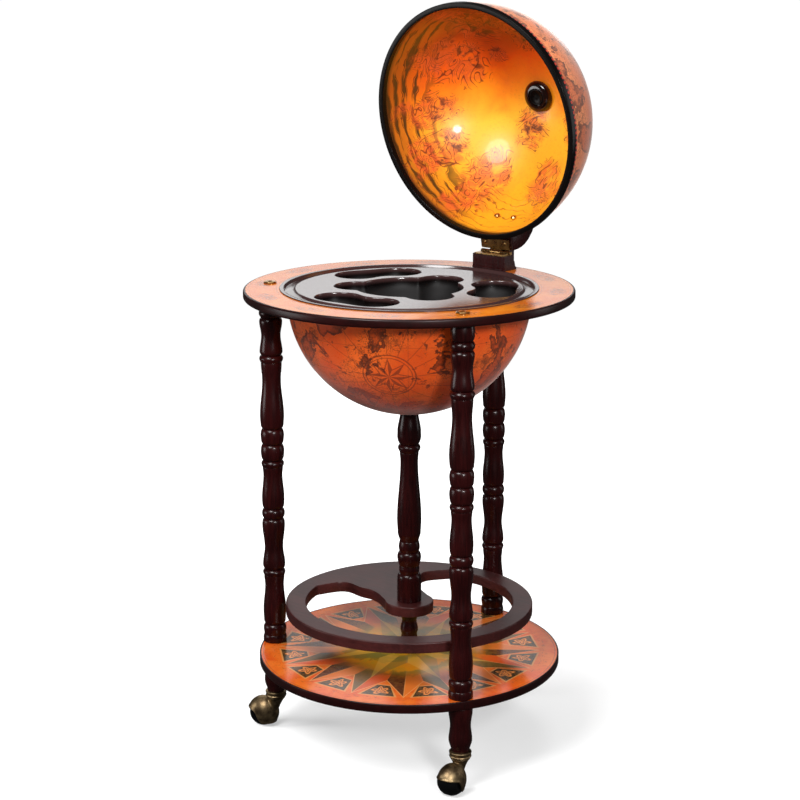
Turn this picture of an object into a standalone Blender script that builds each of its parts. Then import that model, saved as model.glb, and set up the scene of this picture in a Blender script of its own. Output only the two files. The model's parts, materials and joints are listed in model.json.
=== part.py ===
"""Globe bar with its lid open. Metres, +Z up, the front is -Y.

A printed ring on three turned legs carries a bowl with a serving tray, and a
half globe hinges at the back as the lid. Below are a bottle gallery on a
turned column, a printed shelf and three hooded casters.
"""
import bmesh
import bpy
from math import asin, cos, pi, radians, sin, sqrt
from mathutils import Matrix, Vector
from mathutils.geometry import delaunay_2d_cdt

# Clearances
GAP = 0.0003                 # between pieces that touch
RUNNING_GAP = 0.00015        # round a pin that turns
STUD_RADIUS = 0.004
STUD_HOLE = STUD_RADIUS + GAP
STUD_REACH = 0.018           # how far a stud goes into each piece
BOLT_REACH = 0.045           # how far a bolt goes down into a leg
SCREW_RADIUS = 0.0016
HEAD_HEIGHT = 0.0026

# Globe
GLOBE_RADIUS = 0.1648        # outside of the lid
LID_WALL = 0.004
BOWL_WALL = 0.0035
BOWL_DROP = 0.007            # bowl's centre below the ring's top
FLANGE_THICKNESS = 0.0017
RIM_DROP = 0.0025            # lid's rim below the ring's top when it is shut
KNOB_HEIGHT = 0.0152
KNOB_TIP_RADIUS = 0.0054
TRIM_WALL = 0.0014
TRIM_DEPTH = 0.009

# Horizon ring
RING_THICKNESS = 0.012
RING_WIDTH = 0.057
OPENING_GAP = 0.0007         # between the ring and the bowl
REBATE_DEPTH = 0.007         # the step inside the ring that carries the bowl
REBATE_WIDTH = 0.004
LEG_INSET = 0.0312           # from the ring's edge to a leg's axis

# Serving tray
TRAY_OVERLAP = 0.0045        # how far the flange lies on the ring
TRAY_SHEET = 0.0016
DECK_RISE = 0.0004           # deck above the ring's top
CHANNEL_WIDTH = 0.0124       # from the globe's outside to the deck
DECK_MARGIN = 0.0044         # from the deck's edge to a glass well
GLASS_WELL_RADIUS = 0.0315
GLASS_WELL_SPREAD = radians(15.5)
GLASS_WELL_WAIST = 0.0042
GLASS_WELL_DEPTH = 0.060
GLASS_WELLS = [radians(a) for a in (-88, 32, 152)]
WELL_BRIDGE = 0.012          # deck between the glass wells and the bottle well
BOTTLE_WELL_DEPTH = 0.108
WELL_DRAFT = 0.009           # how much a well narrows to its floor
LIP_RADIUS = 0.0026
LIP_SPREAD = 0.0006

# Legs, shelf and gallery
LEGS = {"back": radians(90), "left": radians(210), "right": radians(330)}
LEG_LENGTH = 0.4984
LEG_RADIUS = 0.0166
FOOT_LENGTH = 0.0617
SHELF_THICKNESS = 0.0123
SHELF_MARGIN = 0.0165        # shelf outside a leg's axis
GALLERY_RISE = 0.0705        # gallery's top above the shelf
GALLERY_THICKNESS = 0.0146
GALLERY_WIDTH = 0.0276
GALLERY_TO_LEG = 0.0041
HUB_RADIUS = 0.0335
TONGUE_AT = radians(150)
GROOVE_DEPTH = 0.0018
GROOVE_HALF_WIDTH = 0.0013
SWELL_STEP = 0.0023          # radius gained by each facet row of a swell

# Hinge
LID_OPEN = radians(80.4)
PIN_BEHIND_GLOBE = 0.028
PIN_RISE = 0.0231            # pin above the ring's top
PIN_RADIUS = 0.00142
KNUCKLE_RADIUS = 0.003
LEAF_THICKNESS = 0.0015
LEAF_GAP = 0.0005            # between the leaves when the lid is shut
LEAF_DEPTH = 0.019
LEAF_HALF_LENGTH = 0.024
LEAF_SCREW_SPREAD = 0.017
LEAF_SCREW_LENGTH = 0.012
LEAF_SCREW_BACK = 0.0123
BLOCK_SCREW_GRIP = 0.0157
RISER_BORE = 0.0155
BLOCK_HALF_WIDTH = 0.028
BLOCK_HEIGHT = 0.071
STOP_HALF_WIDTH = 0.017

# Casters
BALL_RADIUS = 0.0195
BALL_HALF_WIDTH = 0.0150
TREAD_HALF_WIDTH = 0.0032
TRAIL = 0.020                # wheel's axle behind the swivel axis
TRAILING = {"back": radians(200), "left": radians(196), "right": radians(274)}
AXLE_RADIUS = 0.002
STEM_RADIUS = 0.0039
STEM_LENGTH = 0.032
SOCKET_WALL = 0.0025
COLLAR_RADIUS = 0.015
COLLAR_HEIGHT = 0.0083
HOOD_WALL = 0.0016
HOOD_CLEARANCE = 0.0018
ARM_HEIGHT = 0.004           # between the hood's top and the collar

# Facets round a turn
ROUND = 40
SPINDLE = 12
SMALL = 12
ARC_ROWS = 8

# Turned profiles, top to bottom. Each element: its parts of the length, then (place along it,
# share of LEG_RADIUS) where its curve turns.
LEG_TURNING = [
    (22.8, [(0, 0.892), (0.5, 0.958), (1, 0.916)]),
    (12.2, [(0, 0.916), (0.5, 0.97), (1, 0.916)]),
    (52, [(0, 0.916), (0.1, 0.946), (0.48, 0.795), (0.93, 0.946), (1, 0.928)]),
    (103.5, [(0, 0.904), (0.07, 0.976), (0.34, 0.777), (0.83, 1), (1, 0.94)]),
    (22.2, [(0, 0.916), (0.42, 0.976), (1, 0.916)]),
    (23, [(0, 0.916), (0.45, 0.976), (1, 0.916)]),
    (68.7, [(0, 0.886), (0.08, 0.916), (0.29, 0.795), (0.79, 0.94), (1, 0.904)]),
    (14.5, [(0, 0.904), (0.5, 0.958), (1, 0.904)]),
    (73.5, [(0, 0.91), (0.12, 0.952), (0.57, 0.777), (0.91, 0.94), (1, 0.91)]),
    (80.2, [(0, 0.904), (0.05, 0.934), (0.24, 0.789), (0.74, 0.952), (1, 0.91)]),
    (15.5, [(0, 0.904), (0.4, 0.964), (1, 0.91)]),
    (10.3, [(0, 0.952), (0.5, 0.982), (1, 0.982)]),
]
FOOT_TURNING = [
    (1, [(0, 0.94), (0.08, 0.964), (0.42, 0.831), (0.74, 0.94), (1, 0.723)]),
]
COLUMN_TURNING = [
    (43, [(0, 0.759), (0.6, 0.976), (0.76, 0.988), (1, 0.88)]),
    (11.5, [(0, 0.892), (0.42, 0.934), (1, 0.819)]),
    (123.5, [(0, 0.783), (0.1, 0.729), (0.76, 1.012), (0.9, 0.964), (1, 0.795)]),
    (15, [(0, 0.831), (0.6, 0.886), (1, 0.819)]),
    (19.5, [(0, 0.94), (0.38, 0.994), (1, 0.88)]),
    (11, [(0, 0.819), (0.5, 0.849), (1, 0.807)]),
    (38.2, [(0, 0.952), (0.2, 1.006), (1, 1.006)]),
]
BASE_TURNING = [
    (1, [(0, 0.843), (0.08, 0.807), (0.25, 0.614), (0.49, 0.741), (0.62, 0.651), (0.75, 0.711),
         (0.9, 0.982), (1, 0.988)]),
]

# Colour, metallic, roughness
FINISHES = {
    "mahogany": ((0.17, 0.055, 0.045), 0.0, 0.3),
    "printed ring": ((0.86, 0.5, 0.3), 0.0, 0.35),
    "printed shelf": ((0.78, 0.36, 0.12), 0.0, 0.3),
    "globe": ((0.82, 0.38, 0.16), 0.0, 0.3),
    "tray": ((0.09, 0.06, 0.055), 0.0, 0.3),
    "black trim": ((0.02, 0.02, 0.02), 0.0, 0.35),
    "brown plastic": ((0.2, 0.06, 0.03), 0.0, 0.2),
    "brass": ((0.72, 0.5, 0.24), 1.0, 0.3),
    "antique brass": ((0.42, 0.3, 0.14), 1.0, 0.35),
    "steel": ((0.6, 0.6, 0.62), 1.0, 0.35),
    "rubber": ((0.03, 0.03, 0.03), 0.0, 0.6),
}

# Places worked out from the sizes above
FOOT_END = 2 * BALL_RADIUS + HOOD_CLEARANCE + HOOD_WALL + ARM_HEIGHT + COLLAR_HEIGHT
FOOT_TOP = FOOT_END + FOOT_LENGTH
SHELF_TOP = FOOT_TOP + GAP + SHELF_THICKNESS
GALLERY_TOP = SHELF_TOP + GALLERY_RISE
HUB_BOTTOM = GALLERY_TOP - GALLERY_THICKNESS
LEG_END = SHELF_TOP + GAP
LEG_TOP = LEG_END + LEG_LENGTH
RING_TOP = LEG_TOP + GAP + RING_THICKNESS
BOWL_Z = RING_TOP - BOWL_DROP
PIN_Z = RING_TOP + PIN_RISE
BOWL_INSIDE = GLOBE_RADIUS - BOWL_WALL
LID_INSIDE = GLOBE_RADIUS - LID_WALL
OPENING_RADIUS = GLOBE_RADIUS + OPENING_GAP
REBATE_RADIUS = OPENING_RADIUS + REBATE_WIDTH
RING_RADIUS = OPENING_RADIUS + RING_WIDTH
TRAY_RADIUS = REBATE_RADIUS + TRAY_OVERLAP
DECK_RADIUS = GLOBE_RADIUS - CHANNEL_WIDTH
GLASS_WELL_CIRCLE = DECK_RADIUS - DECK_MARGIN - GLASS_WELL_RADIUS
BOTTLE_WELL_RADIUS = GLASS_WELL_CIRCLE - GLASS_WELL_RADIUS - WELL_BRIDGE
BOTTLE_WELL_LOBE = 0.44 * BOTTLE_WELL_RADIUS
BOTTLE_WELL_LOBES_AT = 0.96 * BOTTLE_WELL_RADIUS
LEG_CIRCLE = RING_RADIUS - LEG_INSET
SHELF_RADIUS = LEG_CIRCLE + SHELF_MARGIN
GALLERY_RADIUS = LEG_CIRCLE - LEG_RADIUS - GALLERY_TO_LEG
PIN_FROM_AXIS = GLOBE_RADIUS + PIN_BEHIND_GLOBE
RIM_Z = -RIM_DROP - PIN_RISE                    # lid's rim from the pin, lid shut
GLOBE_Y = -PIN_FROM_AXIS                        # globe's axis from the pin
LID_TIP = (PIN_FROM_AXIS * (1 - cos(LID_OPEN)) + KNOB_TIP_RADIUS * cos(LID_OPEN)
           + (RIM_Z + GLOBE_RADIUS + KNOB_HEIGHT) * sin(LID_OPEN))
CENTRE_Y = (RING_RADIUS - LID_TIP) / 2          # puts the box's middle on Y = 0


def finish(name):
    """The material of this name, made once."""
    if name in bpy.data.materials:
        return bpy.data.materials[name]
    colour, metallic, roughness = FINISHES[name]
    mat = bpy.data.materials.new(name)
    mat.use_nodes = True
    shader = mat.node_tree.nodes["Principled BSDF"]
    shader.inputs["Base Color"].default_value = (*colour, 1)
    shader.inputs["Metallic"].default_value = metallic
    shader.inputs["Roughness"].default_value = roughness
    return mat


def empty(name, location, parent=None, rotation=(0, 0, 0)):
    ob = bpy.data.objects.new(name, None)
    ob.location = location
    ob.rotation_euler = rotation
    ob.parent = parent
    bpy.context.scene.collection.objects.link(ob)
    return ob


def piece(name, bm, material, parent, location=(0, 0, 0)):
    """Turn a bmesh into an object under its parent."""
    bmesh.ops.remove_doubles(bm, verts=bm.verts, dist=1e-6)
    bmesh.ops.dissolve_degenerate(bm, edges=bm.edges, dist=1e-6)
    bmesh.ops.recalc_face_normals(bm, faces=bm.faces)
    if bm.calc_volume(signed=True) < 0:
        bmesh.ops.reverse_faces(bm, faces=bm.faces)
    mesh = bpy.data.meshes.new(name)
    bm.to_mesh(mesh)
    bm.free()
    mesh.shade_smooth()
    mesh.set_sharp_from_angle(angle=radians(35))
    mesh.materials.append(finish(material))
    ob = bpy.data.objects.new(name, mesh)
    ob.parent = parent
    ob.location = location
    bpy.context.scene.collection.objects.link(ob)
    return ob


def turned(profile, sides, closed=False):
    """Spin (radius, height) points about Z. An open profile starts and ends on the axis."""
    bm = bmesh.new()
    verts = [bm.verts.new((r, 0, z)) for r, z in profile]
    edges = [bm.edges.new(pair) for pair in zip(verts, verts[1:])]
    if closed:
        edges.append(bm.edges.new((verts[-1], verts[0])))
    bmesh.ops.spin(bm, geom=verts + edges, cent=(0, 0, 0), axis=(0, 0, 1), angle=2 * pi,
                   steps=sides, use_merge=True, use_duplicate=False)
    bmesh.ops.remove_doubles(bm, verts=bm.verts, dist=1e-6)
    bmesh.ops.recalc_face_normals(bm, faces=bm.faces)
    return bm


def cylinder(radius, bottom, top, sides=SMALL):
    return turned([(0, bottom), (radius, bottom), (radius, top), (0, top)], sides)


def prism(outline, half_width):
    """Extrude a (y, z) outline both ways along X."""
    bm = bmesh.new()
    face = bm.faces.new([bm.verts.new((-half_width, y, z)) for y, z in outline])
    grown = bmesh.ops.extrude_face_region(bm, geom=[face])["geom"]
    side = [v for v in grown if isinstance(v, bmesh.types.BMVert)]
    bmesh.ops.translate(bm, verts=side, vec=(2 * half_width, 0, 0))
    bmesh.ops.recalc_face_normals(bm, faces=bm.faces)
    return bm


def placed(bm, matrix):
    bmesh.ops.transform(bm, matrix=matrix, verts=bm.verts)
    return bm


def along_x(bm):
    return placed(bm, Matrix.Rotation(pi / 2, 4, "Y"))


def carve(name, base, tools):
    """Cut or join closed bodies with exact Booleans. tools: (operation, bmesh) pairs."""
    def scratch(bm):
        mesh = bpy.data.meshes.new(name)
        bm.to_mesh(mesh)
        bm.free()
        ob = bpy.data.objects.new(name, mesh)
        bpy.context.scene.collection.objects.link(ob)
        return ob

    work = scratch(base)
    cutters = []
    for operation, bm in tools:
        cutter = scratch(bm)
        cutter.hide_render = True
        cutter.display_type = "WIRE"
        cutters.append(cutter)
        modifier = work.modifiers.new("carve", "BOOLEAN")
        modifier.operation = operation
        modifier.solver = "EXACT"
        modifier.object = cutter
    graph = bpy.context.evaluated_depsgraph_get()
    result = bmesh.new()
    result.from_object(work, graph)
    for ob in [work] + cutters:
        bpy.data.objects.remove(ob, do_unlink=True)
    bmesh.ops.remove_doubles(result, verts=result.verts, dist=2e-6)
    bmesh.ops.triangulate(result, faces=result.faces)
    return result


def eased(stops, step):
    """Points along (place, share) stops, with smooth swells between them."""
    points = [stops[0]]
    for (a, ra), (b, rb) in zip(stops, stops[1:]):
        steps = 1 + round(abs(rb - ra) / step)
        for k in range(1, steps + 1):
            t = k / steps
            s = (1 - cos(pi * t)) / 2
            points.append((a + (b - a) * t, ra + (rb - ra) * s))
    return points


def turning(elements, top, bottom, radius=LEG_RADIUS):
    """(radius, height) points of turned elements, top to bottom, grooves between them."""
    total = sum(length for length, _ in elements)
    scale = (top - bottom) / total
    points = []
    z = top
    for k, (length, stops) in enumerate(elements):
        start = z
        z = start - length * scale
        low = GROOVE_HALF_WIDTH if k else 0
        high = GROOVE_HALF_WIDTH if k < len(elements) - 1 else 0
        for place, share in eased(stops, SWELL_STEP / radius):
            height = (start - low) + (z + high - start + low) * place
            points.append((radius * share, height))
        if high:
            narrow = radius * min(stops[-1][1], elements[k + 1][1][0][1]) - GROOVE_DEPTH
            points.append((narrow, z))
    return points


def arc(radius, centre, start, end, steps):
    """(r, z) points on a sphere's section, between two heights."""
    a = asin((start - centre) / radius)
    b = asin((end - centre) / radius)
    points = []
    for k in range(steps + 1):
        t = a + (b - a) * k / steps
        points.append((radius * cos(t), centre + radius * sin(t)))
    return points


def sphere_height(radius, across):
    return sqrt(radius ** 2 - across ** 2)


def leg_place(angle):
    return LEG_CIRCLE * cos(angle), LEG_CIRCLE * sin(angle)


def circle(radius, count, centre=(0, 0)):
    steps = [2 * pi * k / count for k in range(count)]
    return [(centre[0] + radius * cos(a), centre[1] + radius * sin(a)) for a in steps]


def inside(loop, point):
    """Whether a point lies in a closed outline, by counting crossings."""
    x, y = point
    hit = False
    for (x1, y1), (x2, y2) in zip(loop, loop[1:] + loop[:1]):
        if (y1 > y) != (y2 > y) and x < (x2 - x1) * (y - y1) / (y2 - y1) + x1:
            hit = not hit
    return hit


def fill(bm, loops, rows):
    """Close the area between the first outline and the others with triangles."""
    points = []
    edges = []
    verts = []
    for loop, row in zip(loops, rows):
        first = len(points)
        points += [Vector(p) for p in loop]
        verts += row
        edges += [(first + k, first + (k + 1) % len(loop)) for k in range(len(loop))]
    found, _, faces, origins = delaunay_2d_cdt(points, edges, [], 0, 1e-8)[:4]
    for face in faces:
        middle = (sum(found[i][0] for i in face) / 3, sum(found[i][1] for i in face) / 3)
        if inside(loops[0], middle) and not any(inside(hole, middle) for hole in loops[1:]):
            bm.faces.new([verts[origins[i][0]] for i in face])


def join_rows(bm, row, other):
    for k in range(len(row)):
        n = (k + 1) % len(row)
        bm.faces.new((row[k], row[n], other[n], other[k]))


def plate(levels):
    """A plate with holes. levels: (outlines, height) from one face to the other."""
    bm = bmesh.new()
    rows = [[[bm.verts.new((x, y, z)) for x, y in loop] for loop in loops] for loops, z in levels]
    for lower, upper in zip(rows, rows[1:]):
        for a, b in zip(lower, upper):
            join_rows(bm, a, b)
    fill(bm, levels[0][0], rows[0])
    fill(bm, levels[-1][0], rows[-1])
    return bm


def horizon_ring(stand):
    low = RING_TOP - RING_THICKNESS
    step = RING_TOP - REBATE_DEPTH
    half = RING_THICKNESS / 2
    holes = [circle(STUD_HOLE, SMALL, leg_place(a)) for a in LEGS.values()]

    def level(inset, opening, z):
        return [circle(RING_RADIUS - inset, ROUND), circle(opening, ROUND)] + holes, z

    levels = [
        level(half, OPENING_RADIUS, low),
        level(half / 2, OPENING_RADIUS, low + half * 0.35),
        level(0.0005, OPENING_RADIUS, step),
        level(0.0005, REBATE_RADIUS, step),
        level(0, REBATE_RADIUS, RING_TOP - half * 0.75),
        level(0.0009, REBATE_RADIUS, RING_TOP - 0.0007),
        level(0.0023, REBATE_RADIUS, RING_TOP),
    ]
    piece("horizon_ring", plate(levels), "printed ring", stand)


def legs(stand):
    bolt_end = LEG_TOP - BOLT_REACH
    bore = [(STUD_HOLE, LEG_TOP), (STUD_HOLE, bolt_end - GAP), (0, bolt_end - GAP)]
    stud_end = LEG_END + STUD_REACH
    foot_bore = [(STUD_HOLE, LEG_END), (STUD_HOLE, stud_end + GAP), (0, stud_end + GAP)]
    profile = bore[::-1] + turning(LEG_TURNING, LEG_TOP, LEG_END) + foot_bore
    for name, angle in LEGS.items():
        x, y = leg_place(angle)
        piece("leg_" + name, turned(profile, SPINDLE), "mahogany", stand, (x, y, 0))
        stud = cylinder(STUD_RADIUS, FOOT_TOP - STUD_REACH, stud_end)
        piece("leg_stud_" + name, stud, "steel", stand, (x, y, 0))


def feet(stand):
    socket = STEM_RADIUS + RUNNING_GAP + SOCKET_WALL + GAP
    deep = FOOT_END + STEM_LENGTH + GAP * 4
    top = FOOT_TOP - STUD_REACH - GAP
    bore = [(0, top), (STUD_HOLE, top), (STUD_HOLE, FOOT_TOP)]
    under = [(socket, FOOT_END), (socket, deep), (0, deep)]
    profile = bore + turning(FOOT_TURNING, FOOT_TOP, FOOT_END) + under
    for name, angle in LEGS.items():
        x, y = leg_place(angle)
        piece("foot_" + name, turned(profile, SPINDLE), "mahogany", stand, (x, y, 0))


def ring_bolts(stand):
    """Brass heads over the two front legs; a plain stud into the hinge riser at the back."""
    end = LEG_TOP - BOLT_REACH
    seat = RING_TOP + GAP
    head = [(0, end), (STUD_RADIUS, end), (STUD_RADIUS, seat), (0.0086, seat), (0.0089, seat + 0.0009),
            (0.0082, seat + 0.0019), (0.0064, seat + HEAD_HEIGHT), (0.0032, seat + HEAD_HEIGHT),
            (0.0030, seat + 0.0006), (0, seat + 0.0006)]
    for name in ("left", "right"):
        x, y = leg_place(LEGS[name])
        piece("ring_bolt_" + name, turned(head, SMALL), "brass", stand, (x, y, 0))
    x, y = leg_place(LEGS["back"])
    piece("riser_stud", cylinder(STUD_RADIUS, end, RING_TOP + RISER_BORE - GAP), "steel", stand, (x, y, 0))


def shelf(stand):
    holes = [circle(STUD_HOLE, SMALL, leg_place(a)) for a in LEGS.values()]
    holes.append(circle(STUD_HOLE, SMALL))
    edge = SHELF_THICKNESS
    levels = []
    for inset, z in ((edge * 0.33, -edge), (edge * 0.05, -edge * 0.78), (0, -edge * 0.33),
                     (edge * 0.07, -edge * 0.08), (edge * 0.18, 0)):
        levels.append(([circle(SHELF_RADIUS - inset, ROUND)] + holes, SHELF_TOP + z))
    piece("bottle_shelf", plate(levels), "printed shelf", stand)


def bezier(a, b, c, d, steps):
    """Points of a cubic curve, without its first one."""
    points = []
    for k in range(1, steps + 1):
        t = k / steps
        u = 1 - t
        points.append(a * u ** 3 + b * 3 * u * u * t + c * 3 * u * t * t + d * t ** 3)
    return points


def gallery_opening(inset):
    """One wide opening: round the ring, in along the flared tongue, round the hub and out again."""
    inner = GALLERY_RADIUS - GALLERY_WIDTH + inset
    hub = HUB_RADIUS - inset
    along = Vector((cos(TONGUE_AT), sin(TONGUE_AT)))
    across = Vector((-along.y, along.x))
    waist = hub / inner
    half_edge = [(0.16, waist * 0.95), (0.293, waist * 0.9), (0.393, waist), (0.46, 0.285),
                 (0.56, 0.364), (0.734, 0.329), (0.7315, 0.5), (0.7245, 0.594)]
    half_edge = [Vector(p) for p in half_edge]
    edge = bezier(*half_edge[:4], 5) + bezier(*half_edge[3:7], 7) + [half_edge[7]]
    flare = radians(45)
    points = []
    for k in range(29):
        a = TONGUE_AT + flare + (2 * pi - 2 * flare) * k / 28
        points.append((inner * cos(a), inner * sin(a)))
    for p in edge[::-1]:
        points.append(tuple((along * p.x - across * p.y) * inner))
    leave = radians(78)
    for k in range(17):
        a = TONGUE_AT - leave - (2 * pi - 2 * leave) * k / 16
        points.append((hub * cos(a), hub * sin(a)))
    for p in edge:
        points.append(tuple((along * p.x + across * p.y) * inner))
    return points


def gallery(stand):
    levels = []
    t = GALLERY_THICKNESS
    for inset, z in ((t * 0.11, -t), (0, -t * 0.86), (0, -t * 0.16), (t * 0.04, -t * 0.06), (t * 0.14, 0)):
        loops = [circle(GALLERY_RADIUS - inset, ROUND), gallery_opening(inset), circle(STUD_HOLE, SMALL)]
        levels.append((loops, GALLERY_TOP + z))
    piece("bottle_gallery", plate(levels), "mahogany", stand)


def column(stand):
    neck = 0.0116
    bolt_depth = 0.036
    seat_sphere = GLOBE_RADIUS + GAP
    seat = [(STUD_HOLE, BOWL_Z - sphere_height(seat_sphere, STUD_HOLE)),
            (neck, BOWL_Z - sphere_height(seat_sphere, neck))]
    deep = seat[0][1] - bolt_depth - GAP
    end = GALLERY_TOP + GAP
    socket = end + STUD_REACH + GAP
    top = seat[1][1] - 0.001
    profile = [(0, deep), (STUD_HOLE, deep)] + seat + turning(COLUMN_TURNING, top, end)
    profile += [(STUD_HOLE, end), (STUD_HOLE, socket), (0, socket)]
    piece("column_upper", turned(profile, SPINDLE), "mahogany", stand)
    bolt_seat = BOWL_Z - BOWL_INSIDE
    bolt = [(0, deep + GAP), (STUD_RADIUS, deep + GAP), (STUD_RADIUS, bolt_seat + 0.0005),
            (0.011, bolt_seat + 0.0009), (0.011, bolt_seat + HEAD_HEIGHT),
            (0.0086, bolt_seat + HEAD_HEIGHT * 2), (0, bolt_seat + HEAD_HEIGHT * 2.2)]
    piece("bowl_bolt", turned(bolt, SMALL), "steel", stand)
    upper = HUB_BOTTOM - GAP
    lower = SHELF_TOP + GAP
    into = STUD_REACH
    profile = [(0, upper - into - GAP), (STUD_HOLE, upper - into - GAP), (STUD_HOLE, upper)]
    profile += turning(BASE_TURNING, upper, lower)
    profile += [(STUD_HOLE, lower), (STUD_HOLE, lower + into + GAP), (0, lower + into + GAP)]
    piece("column_lower", turned(profile, SPINDLE), "mahogany", stand)
    piece("column_stud", cylinder(STUD_RADIUS, upper - into, end + into), "steel", stand)
    under = SHELF_TOP - SHELF_THICKNESS - GAP
    screw = [(0, lower + into), (STUD_RADIUS, lower + into), (STUD_RADIUS, under), (0.0095, under),
             (0.0095, under - HEAD_HEIGHT * 0.5), (0.008, under - HEAD_HEIGHT), (0.003, under - HEAD_HEIGHT),
             (0.003, under - HEAD_HEIGHT * 0.4), (0, under - HEAD_HEIGHT * 0.4)]
    piece("shelf_screw", turned(screw, SMALL), "brass", stand)


def bowl(stand):
    low = RING_TOP - REBATE_DEPTH + GAP
    top = low + FLANGE_THICKNESS
    hole = STUD_HOLE
    profile = arc(GLOBE_RADIUS - GAP, BOWL_Z, BOWL_Z - sphere_height(GLOBE_RADIUS - GAP, hole), low - 0.0004,
                  ARC_ROWS)
    profile += [(GLOBE_RADIUS - GAP, low), (REBATE_RADIUS - GAP * 1.6, low), (REBATE_RADIUS - GAP * 1.6, top),
                (BOWL_INSIDE, top)]
    profile += arc(BOWL_INSIDE, BOWL_Z, top - 0.001, BOWL_Z - sphere_height(BOWL_INSIDE, hole), ARC_ROWS)
    piece("globe_bowl", turned(profile, ROUND, closed=True), "globe", stand)


def glass_well(middle, inset):
    """Two round places side by side with a slight waist between them."""
    radius = GLASS_WELL_RADIUS - inset
    start = middle - GLASS_WELL_SPREAD
    end = middle + GLASS_WELL_SPREAD
    steps = 4
    points = []

    def run(sign):
        for k in range(steps + 1):
            t = k / steps
            a = start + (end - start) * (t if sign > 0 else 1 - t)
            r = GLASS_WELL_CIRCLE + sign * (radius - GLASS_WELL_WAIST * sin(pi * t) ** 2)
            points.append((r * cos(a), r * sin(a)))

    def cap(at, turn):
        for k in range(1, 7):
            a = turn + pi * k / 7
            points.append((GLASS_WELL_CIRCLE * cos(at) + radius * cos(a),
                           GLASS_WELL_CIRCLE * sin(at) + radius * sin(a)))

    run(1)
    cap(end, end)
    run(-1)
    cap(start, start + pi)
    return points


def bottle_well(inset):
    """A round well with three lobes, between the glass wells."""
    count = 45
    blend = 0.006
    points = []
    for k in range(count):
        a = 2 * pi * k / count
        radius = BOTTLE_WELL_RADIUS
        for middle in GLASS_WELLS:
            off = (a - middle) % (2 * pi) - pi      # from the lobe opposite this glass well
            inner = BOTTLE_WELL_LOBE ** 2 - (BOTTLE_WELL_LOBES_AT * sin(off)) ** 2
            if abs(off) < pi / 3 and inner > 0:
                lobe = BOTTLE_WELL_LOBES_AT * cos(off) + sqrt(inner)
                swell = max(0, blend - abs(radius - lobe)) ** 2 / (4 * blend)
                radius = max(radius, lobe) + swell
        points.append(((radius - inset) * cos(a), (radius - inset) * sin(a)))
    return points


def well_outlines(inset):
    return [glass_well(a, inset) for a in GLASS_WELLS] + [bottle_well(inset)]


def tray(stand):
    """A formed sheet: flange on the ring, channel for the lid's rim, deck and wells."""
    deck = RING_TOP + DECK_RISE
    channel = RING_TOP - RIM_DROP - 0.0005
    outer = REBATE_RADIUS - GAP * 3
    t = TRAY_SHEET
    trim_inside = GLOBE_RADIUS - LID_WALL - TRIM_WALL - GAP * 2
    trim_outside = GLOBE_RADIUS + TRIM_WALL + GAP * 2
    top = [(TRAY_RADIUS, RING_TOP + t), (outer, RING_TOP + t), (trim_outside + 0.0004, channel),
           (trim_inside - 0.0034, channel), (DECK_RADIUS + 0.0012, deck - 0.001), (DECK_RADIUS, deck),
           (DECK_RADIUS - 0.0012, deck)]
    low = [(TRAY_RADIUS, RING_TOP + GAP), (outer + 0.0004, RING_TOP + GAP), (outer, channel - t),
           (DECK_RADIUS + 0.0012, channel - t), (DECK_RADIUS - 0.0002, deck - t - 0.0012),
           (DECK_RADIUS - 0.0011, deck - t), (DECK_RADIUS - 0.0015, deck - t)]
    bm = bmesh.new()

    def row(loop, z):
        return [bm.verts.new((x, y, z)) for x, y in loop]

    sides = []
    for profile in (top, low):
        rows = [row(circle(r, ROUND), z) for r, z in profile]
        for a, b in zip(rows, rows[1:]):
            join_rows(bm, a, b)
        sides.append(rows)
    join_rows(bm, sides[0][0], sides[1][0])
    depths = [GLASS_WELL_DEPTH] * len(GLASS_WELLS) + [BOTTLE_WELL_DEPTH]
    for rows, profile, sheet in ((sides[0], top, 0), (sides[1], low, t)):
        loops = [circle(profile[-1][0], ROUND)]
        ends = [rows[-1]]
        for k, depth in enumerate(depths):
            outlines = []
            for inset, drop in ((-LIP_SPREAD, 0), (LIP_SPREAD * 0.2, LIP_RADIUS * 0.3),
                                (LIP_SPREAD, LIP_RADIUS), (WELL_DRAFT / 2, depth - WELL_DRAFT * 0.9),
                                (WELL_DRAFT, depth)):
                outline = well_outlines(inset - sheet)[k]
                outlines.append((outline, row(outline, deck - drop - sheet)))
            for (_, a), (_, b) in zip(outlines, outlines[1:]):
                join_rows(bm, a, b)
            fill(bm, [outlines[-1][0]], [outlines[-1][1]])
            loops.append(outlines[0][0])
            ends.append(outlines[0][1])
        fill(bm, loops, ends)
    piece("serving_tray", bm, "tray", stand)


def on_lid(bm):
    """Move a piece turned about the globe's axis to its place, seen from the hinge pin."""
    return placed(bm, Matrix.Translation((0, GLOBE_Y, RIM_Z)))


def block_screw_frames():
    """Directions of the two screws that go through the lid into the block."""
    frames = []
    for side in (-1, 1):
        a = pi / 2 - side * BLOCK_HALF_WIDTH * 0.57 / GLOBE_RADIUS
        e = radians(20)
        way = Vector((cos(a) * cos(e), sin(a) * cos(e), sin(e)))
        frames.append(Vector((0, 0, 1)).rotation_difference(way).to_matrix().to_4x4())
    return frames


def leaf_screw_holes(bottom, top):
    """Drills for the two screws of a hinge leaf."""
    drills = []
    for side in (-1, 1):
        at = Matrix.Translation((side * LEAF_SCREW_SPREAD, -LEAF_SCREW_BACK, 0))
        drills.append(("DIFFERENCE", placed(cylinder(SCREW_RADIUS + GAP, bottom, top), at)))
    return drills


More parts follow.
